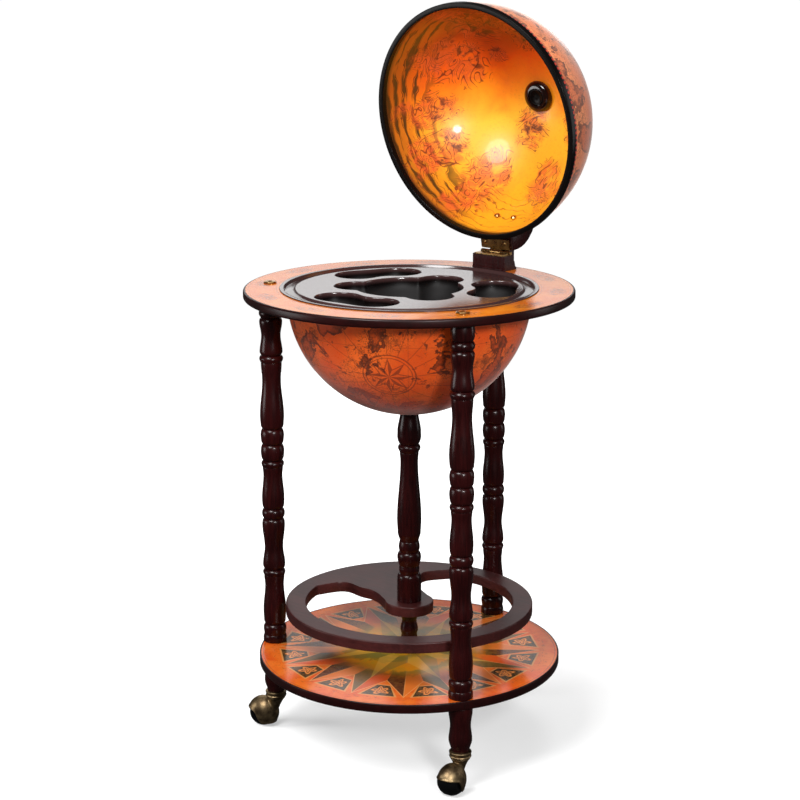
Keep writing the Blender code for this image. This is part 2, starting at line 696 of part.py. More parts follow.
def lid(hinged):
    hole = 0.0034
    rim = 0.002
    above = TRIM_DEPTH + 0.001
    outside = arc(GLOBE_RADIUS, 0, rim, above, 1)
    outside += arc(GLOBE_RADIUS, 0, above, sphere_height(GLOBE_RADIUS, hole), ARC_ROWS)[1:]
    within = arc(LID_INSIDE, 0, sphere_height(LID_INSIDE, hole), above, ARC_ROWS)
    within += arc(LID_INSIDE, 0, above, rim, 1)[1:]
    drills = []
    for frame in block_screw_frames():
        drill = cylinder(SCREW_RADIUS + 0.001, LID_INSIDE - 0.01, GLOBE_RADIUS + 0.01)
        drills.append(("DIFFERENCE", on_lid(placed(drill, frame))))
    shell = on_lid(turned(outside + within, ROUND, closed=True))
    piece("globe_lid", carve("globe_lid", shell, drills), "globe", hinged)
    w = TRIM_WALL
    a, b = GLOBE_RADIUS + GAP + w, GLOBE_RADIUS + GAP
    c, d = LID_INSIDE - GAP * 2, LID_INSIDE - GAP * 2 - w
    channel = [(a, 0), (a, TRIM_DEPTH - 0.0005), (b, TRIM_DEPTH), (b, w), (c, w), (c, TRIM_DEPTH),
               (d, TRIM_DEPTH - 0.0005), (d, 0)]
    piece("lid_trim", on_lid(turned(channel, ROUND, closed=True)), "black trim", hinged)


def lid_boss(hinged):
    """A round boss inside the pole, its dished cap, and the knob that holds them from outside."""
    hole = 0.0034
    low = LID_INSIDE - 0.0114

    def seat(r):
        return r, sphere_height(LID_INSIDE, r) - GAP * 3

    boss = [seat(hole), seat(0.012), seat(0.022), (0.0228, low + 0.0069), (0.022, low + 0.0039),
            (0.0185, low + 0.001), (0.0142, low), (0.0128, low + 0.0008), (0.0124, low + 0.003),
            (hole, low + 0.003)]
    piece("lid_boss", on_lid(turned(boss, SPINDLE + 6, closed=True)), "brown plastic", hinged)
    floor = low + 0.003 - GAP
    dish = [(0, floor - 0.0009), (0.003, floor - 0.0006), (0.0095, floor - 0.0012), (0.0116, floor - 0.0016),
            (0.0119, floor - 0.0007), (0.0116, floor), (0.0031, floor), (0, floor)]
    piece("boss_cap", on_lid(turned(dish, SPINDLE + 6)), "black trim", hinged)
    top = GLOBE_RADIUS + 0.0004
    tip = GLOBE_RADIUS + KNOB_HEIGHT
    knob = [(0, floor + GAP * 2), (hole - GAP, floor + GAP * 2), (hole - GAP, top), (0.012, top - 0.0003),
            (0.0132, top + 0.001), (0.0124, top + 0.0026), (0.0088, top + 0.0038), (0.0074, top + 0.0066),
            (0.0086, tip - 0.0058), (0.0082, tip - 0.0028), (KNOB_TIP_RADIUS, tip), (0, tip)]
    piece("pole_knob", on_lid(turned(knob, SMALL)), "brass", hinged)


def block_back():
    """The curved back of the hinge block, (y, z) from the pin, foot to top."""
    stops = [(0.04, -0.0038), (0.11, -0.0029), (0.23, -0.0024), (0.34, -0.0028), (0.46, -0.0048),
             (0.59, -0.0092), (0.73, -0.0168), (0.87, -0.0288), (0.97, -0.0428), (1.0, -0.0548)]
    return [(y, BLOCK_HEIGHT * share) for share, y in stops]


def block_back_at(height):
    for (y0, z0), (y1, z1) in zip(block_back(), block_back()[1:]):
        if z0 <= height <= z1:
            return y0 + (y1 - y0) * (height - z0) / (z1 - z0)
    return block_back()[-1][0]


def hinge_block(hinged):
    foot = LEAF_GAP / 2 + LEAF_THICKNESS + GAP
    outline = [(y, max(z, foot)) for y, z in block_back()]
    outline += [(GLOBE_Y + 0.11, BLOCK_HEIGHT), (GLOBE_Y + 0.11, foot)]
    r = GLOBE_RADIUS + GAP * 1.5
    ball = turned([(0, -r)] + arc(r, 0, -r * 0.97, r * 0.97, 40) + [(0, r)], 128)
    tools = [("DIFFERENCE", on_lid(ball))]
    tools += leaf_screw_holes(-0.001, LEAF_SCREW_LENGTH + 0.003)
    for frame in block_screw_frames():
        drill = cylinder(SCREW_RADIUS + GAP, GLOBE_RADIUS - 0.01, GLOBE_RADIUS + BLOCK_SCREW_GRIP + 0.001)
        tools.append(("DIFFERENCE", on_lid(placed(drill, frame))))
    body = carve("hinge_block", prism(outline, BLOCK_HALF_WIDTH), tools)
    piece("hinge_block", body, "mahogany", hinged)
    for name, frame in zip(("left", "right"), block_screw_frames()):
        head = LID_INSIDE - 0.0016
        end = GLOBE_RADIUS + BLOCK_SCREW_GRIP
        screw = [(0, end), (SCREW_RADIUS, end - 0.002), (SCREW_RADIUS, head + 0.0002), (0.0042, head),
                 (0.0042, head - 0.001), (0.0026, head - HEAD_HEIGHT * 0.9), (0, head - HEAD_HEIGHT)]
        piece("block_screw_" + name, on_lid(placed(turned(screw, SMALL - 2), frame)), "brass", hinged)


def hinge_riser(stand):
    """A block on the ring under the pin; its heel behind the pin stops the open lid."""
    front = TRAY_RADIUS + 0.0005 - PIN_FROM_AXIS
    foot = GAP - PIN_RISE
    top = -(LEAF_GAP / 2 + LEAF_THICKNESS + GAP)
    clear = KNUCKLE_RADIUS + 0.0008
    body = [(front, foot), (0.0107, foot), (0.0107, foot + 0.0031), (0.0082, foot + 0.0041),
            (0.0062, foot + 0.0117), (-clear, foot + 0.0157), (-clear, top), (front + 0.001, top),
            (front + 0.001, foot + 0.0037), (front, foot + 0.0029)]
    turn = Matrix.Rotation(-LID_OPEN, 2)

    def open_back(height):
        y, z = turn @ Vector((block_back_at(height), height))
        return y, z - GAP * 1.4

    near, far = open_back(0.010), open_back(0.0205)
    heel = [(-clear - 0.001, foot + 0.0017), (far[0], foot + 0.0017), far, near, (0.0047, foot + 0.0167),
            (-0.0033, foot + 0.0167), (-clear - 0.001, foot + 0.0157)]
    bolt = cylinder(STUD_HOLE, foot - 0.001, foot - GAP + RISER_BORE)
    tools = [("UNION", prism(heel, STOP_HALF_WIDTH)),
             ("DIFFERENCE", placed(bolt, Matrix.Translation((0, LEG_CIRCLE - PIN_FROM_AXIS, 0))))]
    tools += leaf_screw_holes(-LEAF_SCREW_LENGTH - 0.003, 0.001)
    riser = carve("hinge_riser", prism(body, BLOCK_HALF_WIDTH), tools)
    piece("hinge_riser", riser, "mahogany", stand, (0, PIN_FROM_AXIS, PIN_Z))


def hinge_leaf(name, sign, parent, location):
    """A plate rolled round the pin, notched where the other leaf's knuckles go."""
    near = LEAF_GAP / 2
    far = near + LEAF_THICKNESS
    bore = PIN_RADIUS + RUNNING_GAP
    outline = [(-LEAF_DEPTH, far)]
    start, end = pi - asin(far / KNUCKLE_RADIUS), radians(-172)
    outline += [(KNUCKLE_RADIUS * cos(start + (end - start) * k / 12),
                 KNUCKLE_RADIUS * sin(start + (end - start) * k / 12)) for k in range(13)]
    start, end = radians(-172), pi - asin(near / bore)
    outline += [(bore * cos(start + (end - start) * k / 12),
                 bore * sin(start + (end - start) * k / 12)) for k in range(13)]
    outline.append((-LEAF_DEPTH, near))
    plate_body = prism([(y, z * sign) for y, z in outline], LEAF_HALF_LENGTH)
    share = LEAF_HALF_LENGTH * 0.37
    tools = []
    notch = [(-KNUCKLE_RADIUS - 0.0014, -0.01), (0.01, -0.01), (0.01, 0.01), (-KNUCKLE_RADIUS - 0.0014, 0.01)]
    if sign > 0:
        wide = (LEAF_HALF_LENGTH - share) / 2 + 0.002
        for side in (-1, 1):
            cut = placed(prism(notch, wide), Matrix.Translation((side * (share - GAP / 2 + wide), 0, 0)))
            tools.append(("DIFFERENCE", cut))
    else:
        tools.append(("DIFFERENCE", prism(notch, share + GAP / 2)))
    tools += leaf_screw_holes(-0.004, 0.004)
    piece(name, carve(name, plate_body, tools), "brass", parent, location)


def hinge(stand, hinged):
    pin = (0, PIN_FROM_AXIS, PIN_Z)
    hinge_leaf("hinge_leaf_lower", -1, stand, pin)
    hinge_leaf("hinge_leaf_upper", 1, hinged, (0, 0, 0))
    end = LEAF_HALF_LENGTH + GAP
    head = PIN_RADIUS + 0.001
    profile = [(0, -end - 0.0013), (head, -end - 0.0013), (head, -end), (PIN_RADIUS, -end), (PIN_RADIUS, end),
               (head, end), (head, end + 0.0013), (0, end + 0.0013)]
    piece("hinge_pin", along_x(turned(profile, SMALL)), "brass", stand, pin)
    for name, side in (("left", -1), ("right", 1)):
        for level, sign, parent, place in (("lower", -1, stand, pin), ("upper", 1, hinged, (0, 0, 0))):
            flush = sign * 0.00002
            tip = sign * (LEAF_SCREW_LENGTH + 0.0015)
            screw = [(0, flush), (SCREW_RADIUS, flush), (SCREW_RADIUS, tip - sign * 0.001), (0, tip)]
            at = (place[0] + side * LEAF_SCREW_SPREAD, place[1] - LEAF_SCREW_BACK, place[2])
            piece("leaf_screw_%s_%s" % (level, name), turned(screw, SMALL - 2), "brass", parent, at)


def caster(name, stand):
    """A socket in the foot, and a hooded wheel that trails behind the swivel axis."""
    x, y = leg_place(LEGS[name])
    bore = STEM_RADIUS + RUNNING_GAP
    outer = bore + SOCKET_WALL
    top = FOOT_END - GAP
    low = top - COLLAR_HEIGHT
    deep = FOOT_END + STEM_LENGTH - 0.006
    collar = [(bore, low), (COLLAR_RADIUS - 0.0014, low), (COLLAR_RADIUS, low + 0.0012),
              (COLLAR_RADIUS, top - 0.0013), (COLLAR_RADIUS - 0.001, top), (outer, top), (outer, deep),
              (bore, deep)]
    socket = turned(collar, SPINDLE + 4, closed=True)
    piece("caster_socket_" + name, socket, "antique brass", stand, (x, y, 0))
    swivel = empty("swivel_" + name, (x, y, 0), stand, (0, 0, TRAILING[name]))
    axle = empty("axle_" + name, (TRAIL, 0, BALL_RADIUS), swivel, (pi / 2, 0, 0))
    sides = 20
    flat = 1 / cos(pi / sides)      # so that a facet, not a corner, meets the floor
    w = BALL_HALF_WIDTH
    half = [(0.72, 1.0), (0.88, 0.7), (0.97, 0.37), (1.0, TREAD_HALF_WIDTH / w)]
    hub = AXLE_RADIUS + RUNNING_GAP
    tread = [(hub, -w)] + [(BALL_RADIUS * a * flat, -w * b) for a, b in half]
    tread += [(BALL_RADIUS * a * flat, w * b) for a, b in half[::-1]] + [(hub, w)]
    wheel = turned(tread, sides, closed=True)
    placed(wheel, Matrix.Rotation(pi / sides, 4, "Z"))
    piece("caster_wheel_" + name, wheel, "rubber", axle)
    cheek = w + 0.0008
    end = cheek + HOOD_WALL - 0.0002
    rod = [(0, -end), (AXLE_RADIUS * 0.6, -end), (AXLE_RADIUS, -end + 0.0006), (AXLE_RADIUS, end - 0.0006),
           (AXLE_RADIUS * 0.6, end), (0, end)]
    piece("caster_axle_" + name, turned(rod, SMALL), "steel", axle)
    hood = caster_hood(low, cheek)
    piece("caster_hood_" + name, hood, "antique brass", swivel)


def caster_hood(collar_low, cheek):
    """A drum-shaped cover open below, its cheeks on the axle, with an arm up to the stem."""
    def drum(radius, half):
        crown = [(0, 1), (0.70, 1), (0.86, 0.77), (0.96, 0.45)]
        section = [(radius * r, -half * h) for r, h in crown] + [(radius, 0)]
        section += [(radius * r, half * h) for r, h in crown[::-1]]
        body = turned(section, 16)
        return placed(body, Matrix.Translation((TRAIL, 0, BALL_RADIUS)) @ Matrix.Rotation(pi / 2, 4, "X"))

    inner = BALL_RADIUS + HOOD_CLEARANCE
    top = collar_low - GAP
    stem_top = FOOT_END + STEM_LENGTH - 0.0076
    shoulder = COLLAR_RADIUS * 0.88
    arm = [(0, BALL_RADIUS + 0.002), (0.0064, BALL_RADIUS + 0.002), (0.0074, BALL_RADIUS + 0.012),
           (0.0118, top - 0.0036), (shoulder, top - 0.0012), (shoulder, top), (STEM_RADIUS, top),
           (STEM_RADIUS, stem_top), (0, stem_top + 0.0006)]
    web = [(-0.0058, 0.5 * BALL_RADIUS), (0.7 * TRAIL, BALL_RADIUS), (TRAIL, BALL_RADIUS + inner),
           (0.6 * TRAIL, top - 0.004), (0.2 * TRAIL, top - 0.0006), (-0.0058, top - 0.0006),
           (-0.0066, BALL_RADIUS + 0.012)]
    quarter = Matrix.Rotation(-pi / 2, 4, "Z")
    below = [(TRAIL + 0.04, BALL_RADIUS + 0.0096), (TRAIL + 0.02, BALL_RADIUS + 0.006),
             (TRAIL + 0.0068, BALL_RADIUS + 0.0042), (TRAIL + 0.0002, BALL_RADIUS - 0.0085),
             (TRAIL - 0.0042, BALL_RADIUS - 0.0145), (TRAIL - 0.04, BALL_RADIUS - 0.0145),
             (TRAIL - 0.04, -0.04), (TRAIL + 0.04, -0.04)]
    hole = cylinder(AXLE_RADIUS + RUNNING_GAP, -0.03, 0.03)
    placed(hole, Matrix.Translation((TRAIL, 0, BALL_RADIUS)) @ Matrix.Rotation(pi / 2, 4, "X"))
    tools = [("UNION", placed(prism(web, 0.005), quarter)), ("UNION", turned(arm, SPINDLE + 4)),
             ("DIFFERENCE", drum(inner, cheek)), ("DIFFERENCE", placed(prism(below, 0.05), quarter)),
             ("DIFFERENCE", hole)]
    return carve("hood", drum(inner + HOOD_WALL, cheek + HOOD_WALL), tools)


def build():
    for ob in list(bpy.data.objects):
        bpy.data.objects.remove(ob, do_unlink=True)
    stand = empty("stand", (0, CENTRE_Y, 0))
    hinged = empty("lid_pivot", (0, PIN_FROM_AXIS, PIN_Z), stand, (-LID_OPEN, 0, 0))
    horizon_ring(stand)
    legs(stand)
    feet(stand)
    ring_bolts(stand)
    shelf(stand)
    gallery(stand)
    column(stand)
    bowl(stand)
    tray(stand)
    lid(hinged)
    lid_boss(hinged)
    hinge_block(hinged)
    hinge_riser(stand)
    hinge(stand, hinged)
    for name in LEGS:
        caster(name, stand)


build()
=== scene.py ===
# Looks of the globe bar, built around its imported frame. Metres, +Z up, front is -Y.
import json
from math import asin, cos, pi, radians, sin, sqrt

import bmesh
import bpy
from mathutils import Matrix, Vector
from mathutils.geometry import delaunay_2d_cdt

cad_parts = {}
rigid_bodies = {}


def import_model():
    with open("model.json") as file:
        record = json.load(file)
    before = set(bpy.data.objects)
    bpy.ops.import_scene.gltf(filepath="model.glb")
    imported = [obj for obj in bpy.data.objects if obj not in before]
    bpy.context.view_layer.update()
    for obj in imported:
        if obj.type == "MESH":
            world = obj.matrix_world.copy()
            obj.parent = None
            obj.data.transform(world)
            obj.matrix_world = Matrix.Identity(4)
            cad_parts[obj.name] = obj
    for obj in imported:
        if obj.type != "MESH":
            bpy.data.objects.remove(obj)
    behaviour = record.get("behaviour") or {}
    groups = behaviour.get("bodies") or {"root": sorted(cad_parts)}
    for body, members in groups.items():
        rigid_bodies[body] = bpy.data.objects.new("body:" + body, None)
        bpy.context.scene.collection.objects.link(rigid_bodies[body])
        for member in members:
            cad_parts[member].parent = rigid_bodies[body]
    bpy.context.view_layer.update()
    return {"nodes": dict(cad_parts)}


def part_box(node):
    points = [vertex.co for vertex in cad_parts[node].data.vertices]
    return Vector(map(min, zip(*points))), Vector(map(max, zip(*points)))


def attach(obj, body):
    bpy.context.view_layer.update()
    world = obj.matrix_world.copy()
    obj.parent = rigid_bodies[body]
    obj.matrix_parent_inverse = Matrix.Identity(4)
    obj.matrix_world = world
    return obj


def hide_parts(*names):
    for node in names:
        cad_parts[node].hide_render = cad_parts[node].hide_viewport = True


for startObject in list(bpy.data.objects):
    bpy.data.objects.remove(startObject, do_unlink=True)
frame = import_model()
print("frame loaded")

ringLow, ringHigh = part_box("horizon_ring")
axisX, axisY = (ringLow.x + ringHigh.x) / 2, (ringLow.y + ringHigh.y) / 2   # the stand's own axis
ringTop = ringHigh.z
ringRadius = (ringHigh.x - ringLow.x) / 2
globeMiddle = ringTop - 0.007   # the closed globe's centre, and the rebate in the ring
pinLow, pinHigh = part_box("hinge_pin")
pinY, pinZ = (pinLow.y + pinHigh.y) / 2, (pinLow.z + pinHigh.z) / 2
legAngles = {"back": radians(90), "left": radians(210), "right": radians(330)}

globe = {"radius": 0.1648, "lidWall": 0.004, "bowlWall": 0.0035, "sides": 160, "rows": 48}
lidInside = globe["radius"] - globe["lidWall"]
lidOpen = radians(80.4)
hingeReach = pinY - axisY       # from the globe's axis back to the pin
rimDrop = 0.0231 + 0.0025       # from the pin down to the lid's rim when closed
lidTurn = Matrix.Translation((0, pinY, pinZ)) @ Matrix.Rotation(-lidOpen, 4, "X")
lidPlace = lidTurn @ Matrix.Translation((0, -hingeReach, -rimDrop))


# Node trees written as Python

class Wire:
    # one output socket; sums on it add Math nodes to the same board
    def __init__(self, board, socket):
        self.board = board
        self.socket = socket

    def maths(self, operation, *values):
        return self.board.add("ShaderNodeMath", {"operation": operation}, dict(enumerate(values)))

    def __add__(self, other):
        return self.maths("ADD", self, other)

    def __sub__(self, other):
        return self.maths("SUBTRACT", self, other)

    def __rsub__(self, other):
        return self.maths("SUBTRACT", other, self)

    def __mul__(self, other):
        return self.maths("MULTIPLY", self, other)

    def __truediv__(self, other):
        return self.maths("DIVIDE", self, other)

    def __pow__(self, other):
        return self.maths("POWER", self, other)

    def __mod__(self, other):
        return self.maths("FLOORED_MODULO", self, other)

    def __abs__(self):
        return self.maths("ABSOLUTE", self)

    __radd__ = __add__
    __rmul__ = __mul__


class Board:
    # a node tree that nodes are added to by type, settings and socket values
    def __init__(self, tree):
        self.tree = tree

    def add(self, kind, settings=None, values=None, out=0):
        node = self.tree.nodes.new(kind)
        for key, value in (settings or {}).items():
            if key == "stops":
                ramp = node.color_ramp.elements
                while len(ramp) < len(value):
                    ramp.new(0.5)
                for stop, (place, colour) in zip(ramp, value):
                    stop.position = place
                    stop.color = (*colour, 1)
            else:
                setattr(node, key, value)
        for key, value in (values or {}).items():
            self.feed(node.inputs[key], value)
        return Wire(self, node.outputs[out])

    def feed(self, socket, value):
        if isinstance(value, Wire):
            self.tree.links.new(value.socket, socket)
        elif socket.type == "RGBA":
            socket.default_value = (*value, 1)
        else:
            socket.default_value = value


class Finish(Board):
    # a Principled material with the few patterns that this object's prints and woods need
    def __init__(self, name, colour, roughness, metallic=0.0, specular=0.5, coat=0.0, coatRoughness=0.05):
        self.material = bpy.data.materials.new(name)
        self.material.use_nodes = True
        super().__init__(self.material.node_tree)
        self.shader = self.tree.nodes["Principled BSDF"]
        self.put("Base Color", colour)
        self.put("Roughness", roughness)
        self.put("Metallic", metallic)
        self.put("Specular IOR Level", specular)
        self.put("Coat Weight", coat)
        self.put("Coat Roughness", coatRoughness)
        self.place = self.add("ShaderNodeTexCoord", out="Object")

    def put(self, socket, value):
        self.feed(self.shader.inputs[socket], value)

    def moved(self, at=(0, 0, 0), turn=(0, 0, 0), scale=(1, 1, 1)):
        # Object coordinates seen from a point of the piece
        shifted = self.add("ShaderNodeVectorMath", {"operation": "SUBTRACT"}, {0: self.place, 1: at})
        turned = self.add("ShaderNodeVectorRotate", {"rotation_type": "EULER_XYZ"},
                          {"Vector": shifted, "Rotation": turn})
        return self.add("ShaderNodeVectorMath", {"operation": "MULTIPLY"}, {0: turned, 1: scale})

    def parts(self, vector):
        node = self.tree.nodes.new("ShaderNodeSeparateXYZ")
        self.feed(node.inputs[0], vector)
        return [Wire(self, out) for out in node.outputs]

    def polar(self, vector):
        # the distance from the piece's axis, and the angle round it
        x, y = self.parts(vector)[:2]
        return (x * x + y * y) ** 0.5, self.angle(y, x)

    def join(self, x, y, z):
        return self.add("ShaderNodeCombineXYZ", values={0: x, 1: y, 2: z})

    def noise(self, vector, scale, detail=3.0, rough=0.5, distortion=0.0):
        return self.add("ShaderNodeTexNoise", {"noise_dimensions": "3D"},
                        {"Vector": vector, "Scale": scale, "Detail": detail, "Roughness": rough,
                         "Distortion": distortion})

    def cells(self, vector, scale):
        return self.add("ShaderNodeTexVoronoi", {"voronoi_dimensions": "3D"},
                        {"Vector": vector, "Scale": scale})

    def rise(self, value, low, high):
        # 0 below low, 1 above high, smooth between; falls where high is the lower one
        return self.add("ShaderNodeMapRange", {"interpolation_type": "SMOOTHSTEP"},
                        {"Value": value, "From Min": low, "From Max": high})

    def band(self, value, middle, half, soft):
        return self.rise(abs(value - middle), half + soft, half)

    def folded(self, angle, step):
        # the angle within its own sector, from the sector's middle
        return (angle + step / 2) % step - step / 2

    def offGrid(self, value):
        # how far a value is from the nearest whole number
        return abs((value + 0.5) % 1.0 - 0.5)

    def mix(self, share, a, b):
        return self.add("ShaderNodeMix", {"data_type": "RGBA"}, {0: share, 6: a, 7: b}, 2)

    def ink(self, share, under, colour=(0.05, 0.022, 0.012), strength=0.85):
        return self.mix(share * strength, under, colour)

    def sine(self, value):
        return value.maths("SINE", value)

    def cosine(self, value):
        return value.maths("COSINE", value)

    def least(self, a, b):
        return a.maths("MINIMUM", a, b)

    def most(self, a, b):
        return a.maths("MAXIMUM", a, b)

    def angle(self, y, x):
        return y.maths("ARCTAN2", y, x)

    def bump(self, height, depth, strength):
        self.put("Normal", self.add("ShaderNodeBump", values={"Height": height, "Distance": depth,
                                                              "Strength": strength}))


# Shapes

def looseObject(name, bm):
    mesh = bpy.data.meshes.new(name)
    bm.to_mesh(mesh)
    bm.free()
    ob = bpy.data.objects.new(name, mesh)
    bpy.context.scene.collection.objects.link(ob)
    return ob


def shadeSmooth(mesh, below):
    mesh.shade_smooth()
    mesh.set_sharp_from_angle(angle=radians(below))


def asPiece(name, bm, finishes, smoothBelow=32):
    # a bmesh made into an object at the origin, its faces pointing out
    bmesh.ops.remove_doubles(bm, verts=bm.verts, dist=1e-7)
    bmesh.ops.recalc_face_normals(bm, faces=bm.faces)
    if bm.calc_volume(signed=True) < 0:
        bmesh.ops.reverse_faces(bm, faces=bm.faces)
    ob = looseObject(name, bm)
    shadeSmooth(ob.data, smoothBelow)
    for finish in finishes:
        ob.data.materials.append(finish.material)
    return ob


def dress(ob, body, *nodes, slot):
    # the piece stands for these CAD nodes and rides on their body
    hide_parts(*nodes)
    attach(ob, body)


def circleOf(radius, count):
    return [(radius * cos(2 * pi * k / count), radius * sin(2 * pi * k / count)) for k in range(count)]


def arc(r, z, radius, fromAngle, toAngle, steps):
    # a rounded edge, or a shell's section, about the centre (r, z)
    points = []
    for k in range(steps + 1):
        a = fromAngle + (toAngle - fromAngle) * k / steps
        points.append((r + radius * cos(a), z + radius * sin(a)))
    return points


def revolve(profile, sides, closed=False, looks=None):
    # (radius, height) points turned about Z; looks gives a material number for each stretch
    bm = bmesh.new()
    rows = []
    for r, z in profile:
        if r == 0:
            rows.append([bm.verts.new((0, 0, z))] * sides)
        else:
            rows.append([bm.verts.new((x, y, z)) for x, y in circleOf(r, sides)])
    pairs = list(zip(rows, rows[1:])) + ([(rows[-1], rows[0])] if closed else [])
    for number, (low, high) in enumerate(pairs):
        for k in range(sides):
            n = (k + 1) % sides
            corners = []
            for v in (low[k], low[n], high[n], high[k]):
                if v not in corners:
                    corners.append(v)
            if len(corners) > 2:
                face = bm.faces.new(corners)
                face.material_index = looks[number] if looks else 0
    return bm


def shift(bm, x=0, y=0, z=0):
    bmesh.ops.translate(bm, verts=bm.verts, vec=(x, y, z))
    return bm


def turnAt(bm, matrix):
    bmesh.ops.transform(bm, matrix=matrix, verts=bm.verts)
    return bm


def stitch(bm, a, b):
    # a band of faces between two equal rings of points
    for k in range(len(a)):
        n = (k + 1) % len(a)
        bm.faces.new((a[k], a[n], b[n], b[k]))


def loft(loops):
    # equal rings of points joined in turn, both ends closed
    bm = bmesh.new()
    rows = [[bm.verts.new(p) for p in loop] for loop in loops]
    for low, high in zip(rows, rows[1:]):
        stitch(bm, low, high)
    bm.faces.new(rows[0][::-1])
    bm.faces.new(rows[-1])
    return bm


def modified(ob, spent=()):
    # what the modifiers make of an object, as a bmesh; the scratch objects go
    result = bmesh.new()
    result.from_object(ob, bpy.context.evaluated_depsgraph_get())
    for old in (ob, *spent):
        bpy.data.objects.remove(old, do_unlink=True)
    return result


def cutAndJoin(name, first, steps):
    # exact Booleans on closed bmeshes: the first one, then each (operation, shape) in turn
    def scratch(bm):
        bmesh.ops.recalc_face_normals(bm, faces=bm.faces)
        return looseObject(name, bm)

    work = scratch(first)
    others = []
    for operation, bm in steps:
        others.append(scratch(bm))
        cut = work.modifiers.new("cut", "BOOLEAN")
        cut.operation = operation
        cut.solver = "EXACT"
        cut.object = others[-1]
    return modified(work, others)


def inOutline(loop, x, y):
    hit = False
    for (x1, y1), (x2, y2) in zip(loop, loop[1:] + loop[:1]):
        if (y1 > y) != (y2 > y) and x < (x2 - x1) * (y - y1) / (y2 - y1) + x1:
            hit = not hit
    return hit


def faceIn(bm, loops, row):
    # a flat face inside the first outline, left open inside the others
    points, edges, verts = [], [], []
    for loop, ring in zip(loops, row):
        first = len(points)
        points += [Vector(p) for p in loop]
        verts += ring
        edges += [(first + k, first + (k + 1) % len(loop)) for k in range(len(loop))]
    found, _, faces, origins = delaunay_2d_cdt(points, edges, [], 0, 1e-8)[:4]
    for face in faces:
        x = sum(found[i][0] for i in face) / len(face)
        y = sum(found[i][1] for i in face) / len(face)
        if inOutline(loops[0], x, y) and not any(inOutline(hole, x, y) for hole in loops[1:]):
            bm.faces.new([verts[origins[i][0]] for i in face])


def sheetOf(levels):
    # a board with openings: (outlines, height) from one face to the other
    bm = bmesh.new()
    rows = [[[bm.verts.new((x, y, z)) for x, y in loop] for loop in loops] for loops, z in levels]
    for lower, upper in zip(rows, rows[1:]):
        for a, b in zip(lower, upper):
            stitch(bm, a, b)
    for loops, row in ((levels[0][0], rows[0]), (levels[-1][0], rows[-1])):
        faceIn(bm, loops, row)
    return bm


# Pieces that repeat, by Geometry Nodes

class Tree(Board):
    # a Geometry Nodes tree with named inputs
    def __init__(self, name, inputs):
        super().__init__(bpy.data.node_groups.new(name, "GeometryNodeTree"))
        face = self.tree.interface
        self.keys = {}
        for label, kind in inputs.items():
            socket = face.new_socket(label, in_out="INPUT", socket_type="NodeSocket" + kind)
            self.keys[label] = socket.identifier
        face.new_socket("Geometry", in_out="OUTPUT", socket_type="NodeSocketGeometry")
        self.entry = self.tree.nodes.new("NodeGroupInput")

    def given(self, label):
        return Wire(self, self.entry.outputs[label])

    def pieceGiven(self):
        return self.add("GeometryNodeObjectInfo", values={0: self.given("Piece")}, out="Geometry")

    def finishWith(self, instances):
        solid = self.add("GeometryNodeRealizeInstances", values={0: instances})
        made = self.add("GeometryNodeSetMaterial", values={0: solid, "Material": self.given("Finish")})
        self.feed(self.tree.nodes.new("NodeGroupOutput").inputs[0], made)


def aroundTree():
    tree = Tree("around the stand", {"Piece": "Object", "Count": "Int", "Circle": "Float",
                                     "Centre": "Vector", "Start": "Float", "Finish": "Material"})
    ring = tree.add("GeometryNodeMeshCircle", values={"Vertices": tree.given("Count"),
                                                      "Radius": tree.given("Circle")})
    turn = tree.add("ShaderNodeCombineXYZ", values={2: tree.given("Start")})
    ring = tree.add("GeometryNodeTransform", values={0: ring, "Translation": tree.given("Centre"),
                                                     "Rotation": turn})
    tree.finishWith(tree.add("GeometryNodeInstanceOnPoints", values={"Points": ring,
                                                                     "Instance": tree.pieceGiven()}))
    return tree


def rowTree():
    tree = Tree("row of screws", {"Piece": "Object", "Count": "Int", "First": "Vector",
                                  "Step": "Vector", "Turn": "Vector", "Finish": "Material"})
    row = tree.add("GeometryNodeMeshLine", values={"Count": tree.given("Count"),
                                                   "Start Location": tree.given("First"),
                                                   "Offset": tree.given("Step")})
    turn = tree.add("FunctionNodeEulerToRotation", values={0: tree.given("Turn")})
    tree.finishWith(tree.add("GeometryNodeInstanceOnPoints", values={"Points": row, "Rotation": turn,
                                                                     "Instance": tree.pieceGiven()}))
    return tree


def grow(name, tree, values, smoothBelow):
    # runs a tree with these inputs and keeps the result as a plain mesh
    ob = bpy.data.objects.new(name, bpy.data.meshes.new(name))
    bpy.context.scene.collection.objects.link(ob)
    modifier = ob.modifiers.new(name, "NODES")
    modifier.node_group = tree.tree
    for label, value in values.items():
        modifier[tree.keys[label]] = value
    mesh = bpy.data.meshes.new_from_object(ob.evaluated_get(bpy.context.evaluated_depsgraph_get()))
    ob.modifiers.remove(modifier)
    ob.data = mesh
    mesh.name = name
    shadeSmooth(mesh, smoothBelow)
    bpy.data.objects.remove(values["Piece"], do_unlink=True)
    return ob


aroundStand = aroundTree()
screwRow = rowTree()


# Finishes

woods = {
    "mahogany": {"along": (0, 0, 1), "gloss": 0.21,
                 "dark": (0.0075, 0.0005, 0.0006), "light": (0.025, 0.0022, 0.0022)},
    "mahogany board": {"along": (1, 0, 0), "gloss": 0.3,
                       "dark": (0.006, 0.0004, 0.0004), "light": (0.019, 0.0013, 0.0013)},
    "mahogany gallery": {"along": (1, 0, 0), "gloss": 0.34,
                         "dark": (0.022, 0.0038, 0.0036), "light": (0.060, 0.0120, 0.0110)},
}
woodGrain = {"lines": 330, "pores": 1500, "cloud": 22, "drawnOut": 0.07, "depth": 0.00004}


